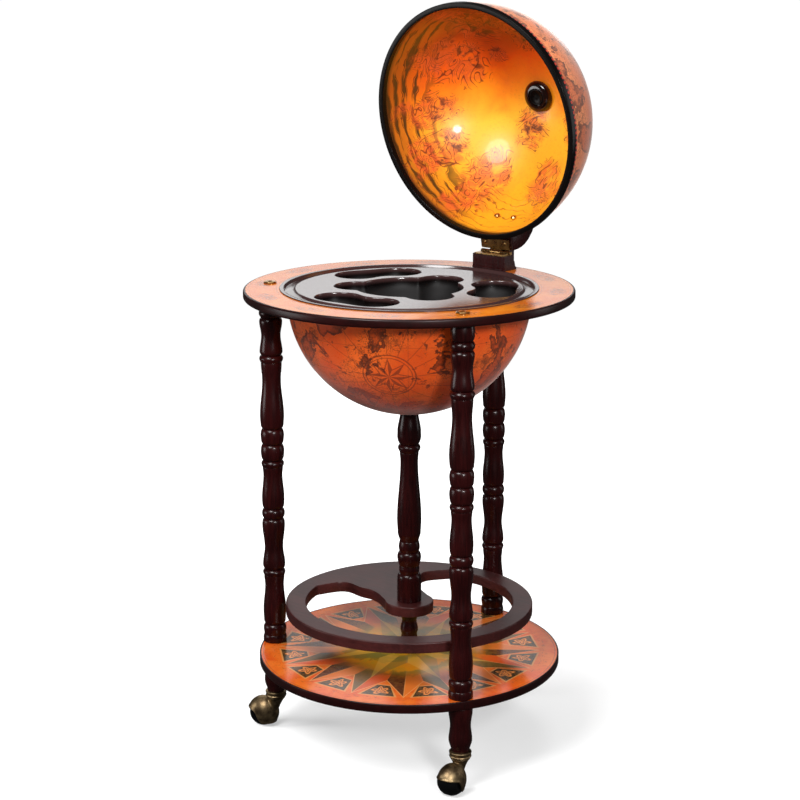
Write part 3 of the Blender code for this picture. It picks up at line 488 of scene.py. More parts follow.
def mahoganyFinish(name):
    # dark red-brown stain under satin lacquer, the grain drawn out along one direction
    look = woods[name]
    wood = Finish(name, look["light"], look["gloss"], specular=0.28)
    lengthways = wood.moved(scale=tuple(1.0 if a == 0 else woodGrain["drawnOut"] for a in look["along"]))
    grain = wood.noise(lengthways, woodGrain["lines"], 4, 0.6, 0.4)
    pores = wood.noise(lengthways, woodGrain["pores"], 2, 0.5)
    cloud = wood.noise(wood.place, woodGrain["cloud"], 2)
    shade = wood.rise(grain * 0.65 + cloud * 0.45, 0.32, 0.78)
    wood.put("Base Color", wood.mix(shade, look["dark"], look["light"]))
    wood.put("Roughness", look["gloss"] + 0.10 * pores)
    wood.bump(grain * 0.5 + pores * 0.5, woodGrain["depth"], 0.3)
    return wood


def metalFinish(name, colour, worn, roughness, patches=120):
    # rubbed metal: darker in patches, finely scratched
    metal = Finish(name, colour, roughness, metallic=1.0)
    cloud = metal.noise(metal.place, patches, 4, 0.6)
    fine = metal.noise(metal.place, patches * 18, 2)
    metal.put("Base Color", metal.mix(metal.rise(cloud, 0.35, 0.68), worn, colour))
    metal.put("Roughness", roughness + 0.16 * (cloud - 0.5) + 0.05 * fine)
    metal.bump(cloud * 0.7 + fine * 0.3, 0.00012, 0.3)
    return metal


mouldGrain = {"fine": 2600, "cloud": 35, "depth": 0.00002}


def plasticFinish(name, colour, roughness, grainDepth=mouldGrain["depth"], specular=0.5, coat=0.0):
    # moulded plastic or rubber with a fine grain
    plastic = Finish(name, colour, roughness, specular=specular, coat=coat)
    fine = plastic.noise(plastic.place, mouldGrain["fine"], 2)
    cloud = plastic.noise(plastic.place, mouldGrain["cloud"], 2)
    plastic.put("Roughness", roughness + 0.08 * (cloud - 0.5) + 0.04 * (fine - 0.5))
    plastic.bump(fine, grainDepth, 0.5)
    return plastic


# deck is the plastic's own colour; wells is painted shade for the depths of the wells
trayLook = {"deck": (0.043, 0.0195, 0.0190), "wells": (0.0022, 0.0010, 0.0010), "gloss": 0.18,
            "dull": 0.50}


def trayFinish():
    # brown gloss on the deck, dull down in the wells, where painted shade darkens the plastic to black
    plastic = Finish("tray plastic", trayLook["deck"], trayLook["gloss"], coat=0.16)
    height = plastic.parts(plastic.place)[2]
    down = plastic.rise(height, ringTop - 0.004, ringTop - 0.020)
    # painted shade: the wells' dark colour down in the wells, the deck's colour above
    outOfWellShade = plastic.rise(height, ringTop - 0.007, ringTop - 0.001)
    plastic.put("Roughness", trayLook["gloss"] + trayLook["dull"] * down)
    plastic.put("Base Color", plastic.mix(outOfWellShade, trayLook["wells"], trayLook["deck"]))
    plastic.bump(plastic.noise(plastic.place, mouldGrain["fine"], 2), mouldGrain["depth"], 0.5)
    return plastic


# lengths in shares of the print's radius
compass = {
    "radius": 0.2078, "turn": radians(-53), "points": 16, "tips": 0.868, "valley": 0.60,
    "slimTips": 0.60, "slimSlope": 0.30, "border": 0.975,
    "badge": 0.768, "badgeTall": 0.092, "badgeWide": 0.084, "badgeFlare": 0.45,
    "orange": (0.63, 0.076, 0.006), "paleOrange": (0.73, 0.158, 0.018), "speck": (0.28, 0.045, 0.008),
    "gold": (0.56, 0.19, 0.006), "oldGold": (0.35, 0.21, 0.012), "green": (0.11, 0.105, 0.016),
    "darkHalves": ((0.070, 0.060, 0.014), (0.032, 0.015, 0.008)), "darkSpeck": (0.20, 0.09, 0.018),
    "lightHalves": ((0.56, 0.070, 0.010), (0.62, 0.15, 0.022)),
    "slimHalves": ((0.62, 0.33, 0.05), (0.14, 0.12, 0.03)),
    "badgeGround": ((0.055, 0.032, 0.012), (0.13, 0.055, 0.018)), "flower": (0.70, 0.22, 0.05),
    "badgeFrame": (0.70, 0.27, 0.07), "outline": (0.72, 0.30, 0.09), "borderLine": (0.25, 0.06, 0.02),
}


def shelfPrintFinish():
    # a sixteen-point compass rose on a mottled orange ground, under clear lacquer
    card = Finish("printed shelf", compass["orange"], 0.2, specular=0.22, coat=0.04, coatRoughness=0.04)
    at = card.moved(at=(axisX, axisY, 0), turn=(0, 0, -compass["turn"]))
    distance, a = card.polar(at)
    r = distance / compass["radius"]
    step = 2 * pi / compass["points"]
    cloud = card.noise(at, 26, 4, 0.6, 0.6)
    speck = card.noise(at, 160, 4, 0.65)
    ground = card.mix(card.rise(cloud, 0.3, 0.7), compass["orange"], compass["paleOrange"])
    ground = card.mix(card.rise(speck, 0.52, 0.74) * 0.42, ground, compass["speck"])
    gold = card.mix(card.rise(cloud, 0.35, 0.65), compass["gold"], compass["oldGold"])
    ground = card.mix(card.rise(r + 0.25 * (cloud - 0.5), 0.70, 0.34), ground, gold)
    swirl = card.sine(a * 3 + r * 21 + cloud * 9)
    green = card.rise(swirl, 0.25, 0.9) * card.rise(r, 0.84, 0.40)
    ground = card.mix(green * 0.6, ground, compass["green"])
    # the points, all folded onto one of them
    fold = card.folded(a, step)
    along, across = r * card.cosine(fold), r * card.sine(fold)
    slope = compass["valley"] * sin(step / 2) / (compass["tips"] - compass["valley"] * cos(step / 2))
    edge = (compass["tips"] - along) * slope - abs(across)
    point = card.rise(edge, 0.0, 0.004)
    half = card.rise(across, -0.002, 0.002)
    which = card.rise(card.cosine(a * (compass["points"] / 2)), -0.1, 0.1)
    darkHalf = card.mix(which, *compass["darkHalves"])
    darkHalf = card.mix(card.rise(speck, 0.4, 0.7) * 0.5, darkHalf, compass["darkSpeck"])
    halves = card.mix(half, darkHalf, card.mix(which, *compass["lightHalves"]))
    outerPart = card.rise(r + 0.2 * (cloud - 0.5), 0.40, 0.60)
    body = card.mix(point * outerPart * 0.9, ground, halves)
    # slim points between, reaching in to the middle
    between = a % (2 * step) - step
    slimAlong, slimAcross = r * card.cosine(between), r * card.sine(between)
    slimEdge = (compass["slimTips"] - slimAlong) * compass["slimSlope"] - abs(slimAcross)
    slim = card.rise(slimEdge, 0.0, 0.006) * card.rise(r, 0.12, 0.2)
    slimLook = card.mix(card.rise(slimAcross, -0.002, 0.002), *compass["slimHalves"])
    body = card.mix(slim * 0.5, body, slimLook)
    # badges between the tips, each with a five-leaved flower
    gap = a % step - step / 2
    outward = r * card.cosine(gap) - compass["badge"]
    tall = outward / compass["badgeTall"]
    wide = r * card.sine(gap) / (compass["badgeWide"] + compass["badgeFlare"] * outward)
    box = card.most(abs(tall), abs(wide))
    petals = (tall * tall + wide * wide) ** 0.5 + 0.16 * card.cosine(5 * card.angle(tall, wide))
    flower = card.rise(petals, 0.62, 0.52)
    badgeLook = card.mix(card.rise(speck, 0.4, 0.65), *compass["badgeGround"])
    body = card.mix(card.rise(box, 1.04, 0.96), body, badgeLook)
    body = card.mix(flower, body, compass["flower"])
    body = card.ink(card.band(petals, 0.3, 0.05, 0.05) * flower, body)
    body = card.mix(card.band(box, 0.96, 0.045, 0.03) * 0.85, body, compass["badgeFrame"])
    # pale outlines of the points, and the plain outer ring with a few fine marks
    outline = card.band(edge, 0.0, 0.0022, 0.0025) * outerPart
    spine = card.band(across, 0.0, 0.0012, 0.002) * point * outerPart
    body = card.mix(card.most(outline, spine) * 0.7, body, compass["outline"])
    scribble = card.noise(card.join(a * 14, r * 60, 0), 1.6, 3)
    marks = card.rise(scribble, 0.60, 0.66) * card.band(r, 0.90, 0.012, 0.01)
    body = card.ink(marks, body, strength=0.6)
    body = card.mix(card.band(r, compass["border"], 0.003, 0.002) * 0.5, body, compass["borderLine"])
    card.put("Base Color", body)
    card.put("Roughness", 0.15 + 0.08 * speck)
    card.bump(speck, 0.00003, 0.25)
    return card


ringInk = {
    "ground": ((0.52, 0.108, 0.004), (0.62, 0.178, 0.010)), "speck": (0.26, 0.046, 0.008),
    "knots": 12, "knotCircle": 0.1985, "knotArc": 0.198, "knotLong": 0.027, "knotWide": 0.0125,
    "knotLine": (0.07, 0.024, 0.016), "knotShade": (0.20, 0.040, 0.016),
    "degrees": {"perRadian": 180 / pi, "middle": 0.1790, "half": 0.0011},
    "fives": {"perRadian": 36 / pi, "middle": 0.1797, "half": 0.0020},
    "hoops": (0.1775, 0.2155), "hoopHalf": 0.00018, "scale": (0.12, 0.045, 0.025),
}


def ringPrintFinish():
    # warm orange paper with a degree scale and dark knots of linework on each twelfth
    card = Finish("printed ring", ringInk["ground"][0], 0.4, specular=0.27)
    at = card.moved(at=(axisX, axisY, 0))
    r, a = card.polar(at)
    cloud = card.noise(at, 24, 4, 0.6, 0.5)
    speck = card.noise(at, 300, 4, 0.7)
    body = card.mix(card.rise(cloud, 0.3, 0.7), *ringInk["ground"])
    body = card.mix(card.rise(speck, 0.52, 0.74) * 0.34, body, ringInk["speck"])
    # knots: thin contour lines of a twisted noise, kept inside soft patches
    along = card.folded(a, 2 * pi / ringInk["knots"]) * ringInk["knotArc"] + 0.012 * (cloud - 0.5)
    outward = (r - ringInk["knotCircle"]) / ringInk["knotWide"]
    patch = ((along / ringInk["knotLong"]) ** 2 + outward ** 2) ** 0.5
    knot = card.noise(at, 120, 3, 0.55, 1.6)
    lines = card.most(card.band(knot, 0.5, 0.012, 0.02), card.band(knot, 0.58, 0.008, 0.015))
    body = card.ink(lines * card.rise(patch, 1.15, 0.75), body, ringInk["knotLine"], 0.9)
    shadeIn = card.rise(knot, 0.5, 0.66) * card.rise(patch, 1.0, 0.5)
    body = card.mix(shadeIn * 0.7, body, ringInk["knotShade"])

    def ticks(look, outside, inside):
        off = card.offGrid(a * look["perRadian"])
        return card.rise(off, outside, inside) * card.band(r, look["middle"], look["half"], 0.0003)

    # a degree scale beside the inner edge, and a hoop near both edges
    scale = card.most(ticks(ringInk["degrees"], 0.11, 0.05), ticks(ringInk["fives"], 0.022, 0.012))
    for hoop in ringInk["hoops"]:
        scale = card.most(scale, card.band(r, hoop, ringInk["hoopHalf"], 0.0002))
    body = card.ink(scale, body, ringInk["scale"], 0.65)
    card.put("Base Color", body)
    card.put("Roughness", 0.15 + 0.09 * speck)
    card.bump(speck, 0.00003, 0.3)
    return card


windRose = {"facing": (0.42, -0.76, -0.52), "radius": 0.21, "points": 8, "tips": 0.82, "slope": 0.30,
            "ink": (0.055, 0.016, 0.010)}


def windRoseLines(chart, at):
    # a drawn rose on the sphere, its rhumb lines running out and fading
    facing = Vector(windRose["facing"]).normalized()
    level = facing.cross(Vector((0, 0, 1))).normalized()
    axes = (facing, level, level.cross(facing))
    front, across, up = (chart.add("ShaderNodeVectorMath", {"operation": "DOT_PRODUCT"},
                                   {0: at, 1: axis}, "Value") for axis in axes)
    r = (across * across + up * up) ** 0.5 / windRose["radius"]
    a = chart.angle(up, across)
    sector = 2 * pi / windRose["points"]
    fold = chart.folded(a, sector)
    side = r * chart.sine(fold)
    edge = (windRose["tips"] - r * chart.cosine(fold)) * windRose["slope"] - abs(side)
    point = chart.rise(edge, 0.0, 0.02) * chart.rise(side, -0.01, 0.01)
    lines = chart.most(chart.band(edge, 0.0, 0.010, 0.020), chart.band(r, 1.0, 0.014, 0.020))
    lines = chart.most(lines, chart.band(r, 0.88, 0.008, 0.016))
    rhumb = abs(r * chart.sine(chart.folded(a, sector / 2)))
    lines = chart.most(lines, chart.rise(rhumb, 0.026, 0.010) * chart.band(r, 1.9, 0.86, 0.04) * 0.6)
    return chart.most(lines, point) * chart.rise(front, 0.3, 0.5)


# the two charts; from a given height down, in globe radii, painted shade turns the ground darker and redder
bowlChart = {"centre": (axisX, axisY, globeMiddle), "turn": (0, 0, 2.2), "sea": (0.80, 0.088, 0.009),
             "paleSea": (0.97, 0.150, 0.017), "land": (0.46, 0.045, 0.009), "shadeBelow": -0.35,
             "sheen": 0.32, "rose": True, "rimLine": False}
lidChart = {"centre": tuple(lidPlace.translation), "turn": (lidOpen, 0, 0), "sea": (0.72, 0.150, 0.036),
            "paleSea": (0.86, 0.275, 0.100), "land": (0.50, 0.080, 0.022), "shadeBelow": -2,
            "sheen": 0.75, "rose": False, "rimLine": True}
chartInk = {
    "speck": (0.26, 0.045, 0.012), "shore": (0.060, 0.022, 0.011), "coast": (0.05, 0.018, 0.010),
    "isle": (0.07, 0.026, 0.013), "mark": (0.07, 0.020, 0.009), "stain": (0.085, 0.026, 0.011),
    # low is painted shade for the underside of the bowl
    "low": (0.36, 0.020, 0.004), "hill": (0.09, 0.035, 0.018), "net": (0.16, 0.04, 0.016),
    "rimDark": (0.02, 0.008, 0.008), "rimRed": (0.52, 0.03, 0.018), "rimEdge": (0.25, 0.06, 0.03),
}


def mapFinish(name, look):
    # an old chart: shaded shores, small isles, hill marks and a faint net of meridians
    chart = Finish(name, look["sea"], 0.24, specular=0.35, coat=0.3, coatRoughness=0.1)
    chart.put("Sheen Weight", look["sheen"])
    chart.put("Sheen Roughness", 0.35)
    chart.put("Sheen Tint", (1.0, 0.82, 0.76))
    inRadii = (1 / globe["radius"],) * 3
    at = chart.moved(at=look["centre"], turn=look["turn"], scale=inRadii)
    x, y, z = chart.parts(at)
    cloud = chart.noise(at, 3.0, 3, 0.55)
    speck = chart.noise(at, 36, 4, 0.7)
    smudge = chart.noise(at, 8, 5, 0.65, 0.4)
    height = chart.noise(at, 2.5, 7, 0.58, 0.3)
    ground = chart.mix(chart.rise(cloud, 0.32, 0.68), look["sea"], look["paleSea"])
    ground = chart.mix(chart.rise(speck, 0.50, 0.74) * 0.24, ground, chartInk["speck"])
    inland = chart.rise(height, 0.548, 0.556)
    ground = chart.mix(inland * 0.6, ground, look["land"])
    # shores: darkest beside the coast and smudged away inland
    shore = inland * chart.rise(height + 0.10 * (smudge - 0.5), 0.615, 0.552)
    ground = chart.mix(shore * 0.82, ground, chartInk["shore"])
    coast = chart.band(height, 0.551, 0.0018, 0.0022) * chart.rise(smudge, 0.30, 0.46)
    ground = chart.ink(coast, ground, chartInk["coast"], 0.75)
    # isles and small drawn marks at sea, hills inland
    isles = chart.rise(chart.noise(at, 10.5, 5, 0.66, 0.7), 0.600, 0.632) * (1 - inland)
    ground = chart.mix(isles * 0.75, ground, chartInk["isle"])
    where = chart.rise(chart.noise(at, 3.1, 2), 0.46, 0.56)
    marks = chart.band(chart.noise(at, 15, 4, 0.6, 1.6), 0.5, 0.010, 0.014) * where
    ground = chart.ink(marks, ground, chartInk["mark"], 0.75)
    stains = chart.rise(smudge, 0.52, 0.68) * chart.rise(cloud, 0.40, 0.56)
    ground = chart.mix(stains * 0.62, ground, chartInk["stain"])
    # painted shade: the lower part of the chart darker and redder
    low = chart.rise(z, look["shadeBelow"] - 0.05, look["shadeBelow"] - 0.55)
    ground = chart.mix(low * 0.75, ground, chartInk["low"])
    hills = chart.rise(chart.cells(at, 24), 0.26, 0.17) * chart.rise(smudge, 0.50, 0.60) * inland
    ground = chart.mix(hills * 0.6, ground, chartInk["hill"])
    # meridians and parallels, an hour apart
    hour = pi / 12
    height = chart.most(chart.least(z, 1.0), -1.0)
    latitude = height.maths("ARCSINE", height)
    longitude = chart.angle(y, x)
    flat = (x * x + y * y) ** 0.5
    meridian = chart.offGrid(longitude / hour) * flat * hour
    parallel = chart.offGrid(latitude / hour) * hour
    net = chart.rise(chart.least(meridian, parallel), 0.0038, 0.0018) * chart.rise(flat, 0.12, 0.2)
    ground = chart.ink(net, ground, chartInk["net"], 0.34)
    if look["rose"]:
        upright = chart.moved(at=look["centre"], scale=inRadii)
        ground = chart.ink(windRoseLines(chart, upright), ground, windRose["ink"], 0.62)
    if look["rimLine"]:
        # a red and black line beside the trim
        dash = chart.rise(chart.sine(longitude * 150), -0.25, 0.25)
        belt = chart.band(z, 0.076, 0.0095, 0.002)
        ground = chart.mix(belt * dash, ground, chartInk["rimDark"])
        ground = chart.mix(belt * (1 - dash), ground, chartInk["rimRed"])
        ground = chart.ink(chart.band(z, 0.088, 0.0012, 0.0012), ground, chartInk["rimEdge"], 0.6)
    chart.put("Base Color", ground)
    chart.put("Roughness", 0.22 + 0.14 * speck)
    chart.bump(speck, 0.00005, 0.25)
    return chart


skyLook = {
    # from the golden lower part of the open lid up to its top
    "glow": [(0.04, (0.86, 0.34, 0.010)), (0.28, (0.97, 0.48, 0.022)), (0.46, (0.97, 0.27, 0.007)),
             (0.60, (0.92, 0.120, 0.003)), (0.77, (0.42, 0.038, 0.002)), (0.94, (0.15, 0.010, 0.002))],
    # across, down and size of each knot of cloud, in globe radii
    "knots": [(-0.62, -0.36, 0.25), (-0.84, 0.06, 0.17), (-0.74, 0.42, 0.20), (-0.40, 0.70, 0.24),
              (-0.06, 0.28, 0.19), (-0.34, -0.74, 0.24), (0.02, -0.62, 0.22), (0.50, 0.20, 0.25),
              (0.42, -0.48, 0.25), (0.22, 0.70, 0.20), (-0.32, -0.40, 0.09)],
    "speck": (0.50, 0.115, 0.008), "haze": (0.74, 0.13, 0.010),
    "amber": (0.60, 0.150, 0.008), "amberRimShade": (0.30, 0.080, 0.008),
    "fold": (0.040, 0.022, 0.005), "foldEdge": (0.020, 0.009, 0.004), "wave": (0.22, 0.055, 0.008),
    "chalk": (0.74, 0.110, 0.024), "curl": (0.13, 0.022, 0.006), "fineCurl": (0.20, 0.035, 0.008),
    # the last colour is painted shade for the band inside the rim
    "dusk": (0.060, 0.022, 0.007), "rim": (0.020, 0.007, 0.004),
}


def skyFinish():
    # inside of the lid: red-orange above, golden below, with cloud knots and long folds beside the rim
    sky = Finish("painted sky", skyLook["haze"], 0.4, specular=0.40, coat=0.16, coatRoughness=0.035)
    # in globe radii: z along the pole, y down the open lid, x to the right
    at = sky.moved(at=lidChart["centre"], turn=lidChart["turn"], scale=(1 / lidInside,) * 3)
    x, y, z = sky.parts(at)
    cloud = sky.noise(at, 2.2, 4, 0.55, 0.4)
    speck = sky.noise(at, 40, 4, 0.7)
    glow = 0.5 - 0.5 * y + 0.34 * (cloud - 0.5) - 0.10 * z + 0.16 * sky.rise(x, 0.35, 0.95)
    body = sky.add("ShaderNodeValToRGB", {"stops": skyLook["glow"]}, {0: glow})
    body = sky.mix(sky.rise(speck, 0.50, 0.76) * 0.30, body, skyLook["speck"])
    body = sky.mix(sky.rise(cloud, 0.52, 0.72) * 0.35, body, skyLook["haze"])
    # amber and long dark folds along the rim on one side; nearer the rim the amber is darkened by painted
    # shade
    side = sky.rise(x + 0.25 * (cloud - 0.5), -0.22, -0.55)
    body = sky.mix(side * sky.rise(z, 0.66, 0.15) * 0.62, body, skyLook["amber"])
    # painted shade: the amber side darker near the rim
    body = sky.mix(side * sky.rise(z, 0.42, 0.10) * 0.6, body, skyLook["amberRimShade"])
    around = sky.angle(y, 0 - x)
    sway = sky.noise(sky.join(around * 1.5, z * 2.6, 0), 1.5, 3, 0.5)
    fold = sky.sine(z * 78 - z * z * 30 + sway * 17 + around * 1.5)
    breaks = sky.rise(sky.noise(sky.join(around * 2.2, z * 12, 4), 1.7, 3), 0.36, 0.46)
    reach = sky.rise(z + 0.30 * (sway - 0.5), 0.58, 0.40) * side
    wide = sky.rise(sky.noise(sky.join(around * 1.2, z * 3, 9), 2.3, 2), 0.35, 0.65)
    streak = sky.rise(fold, 0.82 - 0.85 * wide, 0.98 - 0.6 * wide) * breaks * reach
    body = sky.mix(streak * 0.92, body, skyLook["fold"])
    edge = sky.band(fold, 0.76 - 1.1 * wide, 0.09, 0.10) * breaks * reach
    body = sky.ink(edge, body, skyLook["foldEdge"], 0.92)
    # thin waves along the lowest part of the rim
    wave = sky.band(sky.sine(z * 42 + sway * 20), 0.15, 0.10, 0.16)
    waves = wave * sky.rise(y, 0.46, 0.72) * sky.rise(z, 0.66, 0.48) * breaks
    body = sky.ink(waves, body, skyLook["wave"], 0.72)
    # knots of cloud in salmon chalk and fine brown curls, the upper ones shaded dark
    wander = sky.noise(at, 4.6, 4, 0.6, 0.6)
    near = None
    for knotX, knotY, size in skyLook["knots"]:
        away = ((x - knotX) ** 2 + (y - knotY) ** 2) ** 0.5 / size + 1.6 * (wander - 0.5)
        near = away if near is None else sky.least(near, away)
    chalk = sky.noise(at, 11, 4, 0.6, 0.8)
    inside = sky.rise(near, 1.0, 0.62) * sky.rise(chalk, 0.30, 0.58)
    body = sky.mix(inside * 0.74, body, skyLook["chalk"])
    curls = sky.sine(sky.noise(at, 3.2, 1.4, 0.5, 1.3) * 58)
    drawn = sky.rise(sky.noise(at, 11, 2), 0.32, 0.46) * sky.rise(near, 1.06, 0.86)
    body = sky.ink(sky.band(curls, 0.1, 0.16, 0.22) * drawn, body, skyLook["curl"], 0.85)
    finer = sky.band(sky.sine(chalk * 40), 0, 0.10, 0.15) * drawn * sky.rise(near, 0.9, 0.6)
    body = sky.ink(finer, body, skyLook["fineCurl"], 0.5)
    dusk = sky.rise(chalk, 0.46, 0.60) * sky.rise(near, 0.95, 0.55)
    dusk = dusk * sky.rise(wander + 0.10 * glow, 0.53, 0.60)
    body = sky.mix(dusk * 0.8, body, skyLook["dusk"])
    # painted shade: the band beside the rim is darkened
    body = sky.mix(sky.rise(z + 0.03 * (cloud - 0.5), 0.125, 0.055) * 0.96, body, skyLook["rim"])
    sky.put("Base Color", body)
    sky.put("Roughness", 0.32 + 0.08 * speck)
    sky.bump(speck, 0.00003, 0.2)
    return sky


mahogany = mahoganyFinish("mahogany")
mahoganyFlat = mahoganyFinish("mahogany board")
boardTop = mahoganyFinish("mahogany gallery")
shelfPrint = shelfPrintFinish()
ringPrint = ringPrintFinish()
bowlMap = mapFinish("chart bowl", bowlChart)
lidMap = mapFinish("chart lid", lidChart)
sky = skyFinish()
trayPlastic = trayFinish()
blackTrim = plasticFinish("black trim", (0.0035, 0.0026, 0.0024), 0.22, specular=0.09)
brownPlastic = plasticFinish("brown plastic", (0.010, 0.0025, 0.0012), 0.12, coat=0.25)
brass = metalFinish("brass", (0.54, 0.335, 0.13), (0.36, 0.21, 0.08), 0.26)
agedBrass = metalFinish("antique brass", (0.37, 0.265, 0.142), (0.12, 0.078, 0.042), 0.42, 90)
steel = metalFinish("steel", (0.55, 0.55, 0.56), (0.4, 0.4, 0.4), 0.3)
casterRubber = plasticFinish("caster rubber", (0.0022, 0.0022, 0.0025), 0.36, 0.00005, specular=0.16)
print("finishes made")


# Turned wood

# each element from the top down: its length, and (share of the length, share of legRadius) stops
turning = {
    "legRadius": 0.0166, "groove": 0.0028, "shoulder": 0.0048, "shoulderShare": 0.42, "step": 0.0024,
    "sameEnds": 0.035, "slightDrop": 0.0002, "chamfer": 0.0006, "sides": 56, "smoothBelow": 40,
    "leg": [
        (22.8, [(0, 0.892), (0.5, 0.958), (1, 0.916)]),
        (12.2, [(0, 0.916), (0.5, 0.97), (1, 0.916)]),
        (52, [(0, 0.916), (0.1, 0.946), (0.48, 0.795), (0.93, 0.946), (1, 0.928)]),
        (10.4, [(0, 0.93), (0.5, 0.982), (1, 0.92)]),
        (93.1, [(0, 0.862), (0.27, 0.777), (0.81, 1), (1, 0.94)]),
        (22.2, [(0, 0.916), (0.42, 0.976), (1, 0.916)]),
        (23, [(0, 0.916), (0.45, 0.976), (1, 0.916)]),
        (9.6, [(0, 0.90), (0.5, 0.946), (1, 0.90)]),
        (59.1, [(0, 0.852), (0.19, 0.795), (0.76, 0.94), (1, 0.904)]),
        (14.5, [(0, 0.904), (0.5, 0.958), (1, 0.904)]),
        (73.5, [(0, 0.91), (0.12, 0.952), (0.57, 0.777), (0.91, 0.94), (1, 0.91)]),
        (9.0, [(0, 0.90), (0.5, 0.946), (1, 0.90)]),
        (71.2, [(0, 0.858), (0.2, 0.789), (0.71, 0.952), (1, 0.91)]),
        (15.5, [(0, 0.904), (0.4, 0.964), (1, 0.91)]),
        (10.3, [(0, 0.952), (0.5, 0.982), (1, 0.982)]),
    ],
    "foot": [(1, [(0, 0.94), (0.08, 0.964), (0.42, 0.831), (0.74, 0.94), (1, 0.723)])],
    "column": [
        (43, [(0, 0.759), (0.6, 0.976), (0.76, 0.988), (1, 0.88)]),
        (11.5, [(0, 0.892), (0.42, 0.934), (1, 0.819)]),
        (123.5, [(0, 0.783), (0.1, 0.729), (0.76, 1.012), (0.9, 0.964), (1, 0.795)]),
        (15, [(0, 0.831), (0.6, 0.886), (1, 0.819)]),
        (19.5, [(0, 0.94), (0.38, 0.994), (1, 0.88)]),
        (11, [(0, 0.819), (0.5, 0.849), (1, 0.807)]),
        (38.2, [(0, 0.952), (0.2, 1.006), (1, 1.006)]),
    ],
    "base": [(1, [(0, 0.843), (0.08, 0.807), (0.25, 0.614), (0.49, 0.741), (0.62, 0.651), (0.75, 0.711),
                  (0.9, 0.982), (1, 0.988)])],
}


def easedStop(stops, share):
    for (a, ra), (b, rb) in zip(stops, stops[1:]):
        if share <= b:
            return ra + (rb - ra) * (1 - cos(pi * (share - a) / (b - a))) / 2
    return stops[-1][1]


def jointsOf(elements):
    # the radius down in each joint: a deep groove between like ends, a slight one beside a step
    joints = [None]
    for (_, upperStops), (_, lowerStops) in zip(elements, elements[1:]):
        ends = (upperStops[-1][1], lowerStops[0][1])
        drop = turning["groove"] if abs(ends[0] - ends[1]) < turning["sameEnds"] else turning["slightDrop"]
        joints.append(min(ends) * turning["legRadius"] - drop)
    return joints + [None]


def turnedLine(elements, top, bottom):
    # top to bottom: eased swells whose ends round down into the joint between two elements
    scale = (top - bottom) / sum(length for length, _ in elements)
    joints = jointsOf(elements)
    line = []
    z = top
    for number, (length, stops) in enumerate(elements):
        span = length * scale
        shoulder = min(turning["shoulder"], span * turning["shoulderShare"])
        near = [shoulder * (1 - cos(pi / 2 * k / 6)) for k in range(7)]
        steps = max(2, round((span - 2 * shoulder) / turning["step"]))
        middle = [shoulder + (span - 2 * shoulder) * k / steps for k in range(1, steps)]
        for spot in near + middle + [span - d for d in near[::-1]]:
            reach = turning["legRadius"] * easedStop(stops, spot / span)
            for joint, away in ((joints[number], spot), (joints[number + 1], span - spot)):
                if joint is not None and away < shoulder:
                    fall = reach - joint
                    reach -= fall * (1 - sqrt(max(0, 1 - (1 - away / shoulder) ** 2)))
            line.append((reach, z - spot))
        z -= span
    return line


def turnedPiece(name, elements, top, bottom):
    # both ends have a small chamfer
    line = turnedLine(elements, top, bottom)
    first, last, drop = line[0][0], line[-1][0], turning["chamfer"]
    line = [(0, top), (first - drop, top), (first, top - drop)] + line[2:-2]
    line += [(last, bottom + drop), (last - drop, bottom), (0, bottom)]
    return asPiece(name, revolve(line, turning["sides"]), [mahogany], turning["smoothBelow"])


def heights(node):
    low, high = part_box(node)
    return high.z, low.z


legLow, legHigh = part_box("leg_right")
legCircle = sqrt(((legLow.x + legHigh.x) / 2 - axisX) ** 2 + ((legLow.y + legHigh.y) / 2 - axisY) ** 2)
aroundLegs = {"Count": 3, "Circle": legCircle, "Centre": (axisX, axisY, 0), "Start": radians(90)}

for kind, name, nodes in (("leg", "turned_legs", ("leg_back", "leg_left", "leg_right")),
                          ("foot", "turned_feet", ("foot_back", "foot_left", "foot_right"))):
    one = turnedPiece(kind, turning[kind], *heights(nodes[0]))
    made = grow(name, aroundStand, {**aroundLegs, "Piece": one, "Finish": mahogany.material},
                turning["smoothBelow"])
    dress(made, "stand", *nodes, slot="mahogany")

for name, node, elements, lowered in (("column_upper_turned", "column_upper", "column", 0.001),
                                      ("column_lower_turned", "column_lower", "base", 0)):
    top, bottom = heights(node)
    made = turnedPiece(name, turning[elements], top - lowered, bottom)
    made.data.transform(Matrix.Translation((axisX, axisY, 0)))
    dress(made, "stand", node, slot="mahogany")
print("turned wood made")


# Ring, shelf and gallery

ringSize = {"thickness": 0.012, "printTo": 0.2206, "printRows": (0.2, 0.18), "inside": 0.1696,
            "opening": 0.1656, "lowEdge": 0.0034, "topEdge": 0.0026, "sides": 160}
shelfSize = {"printTo": 0.2062, "printSunk": 0.0004, "printRows": (0.15, 0.08, 0), "lowEdge": 0.0014,
             "topEdge": 0.0013, "sides": 160}


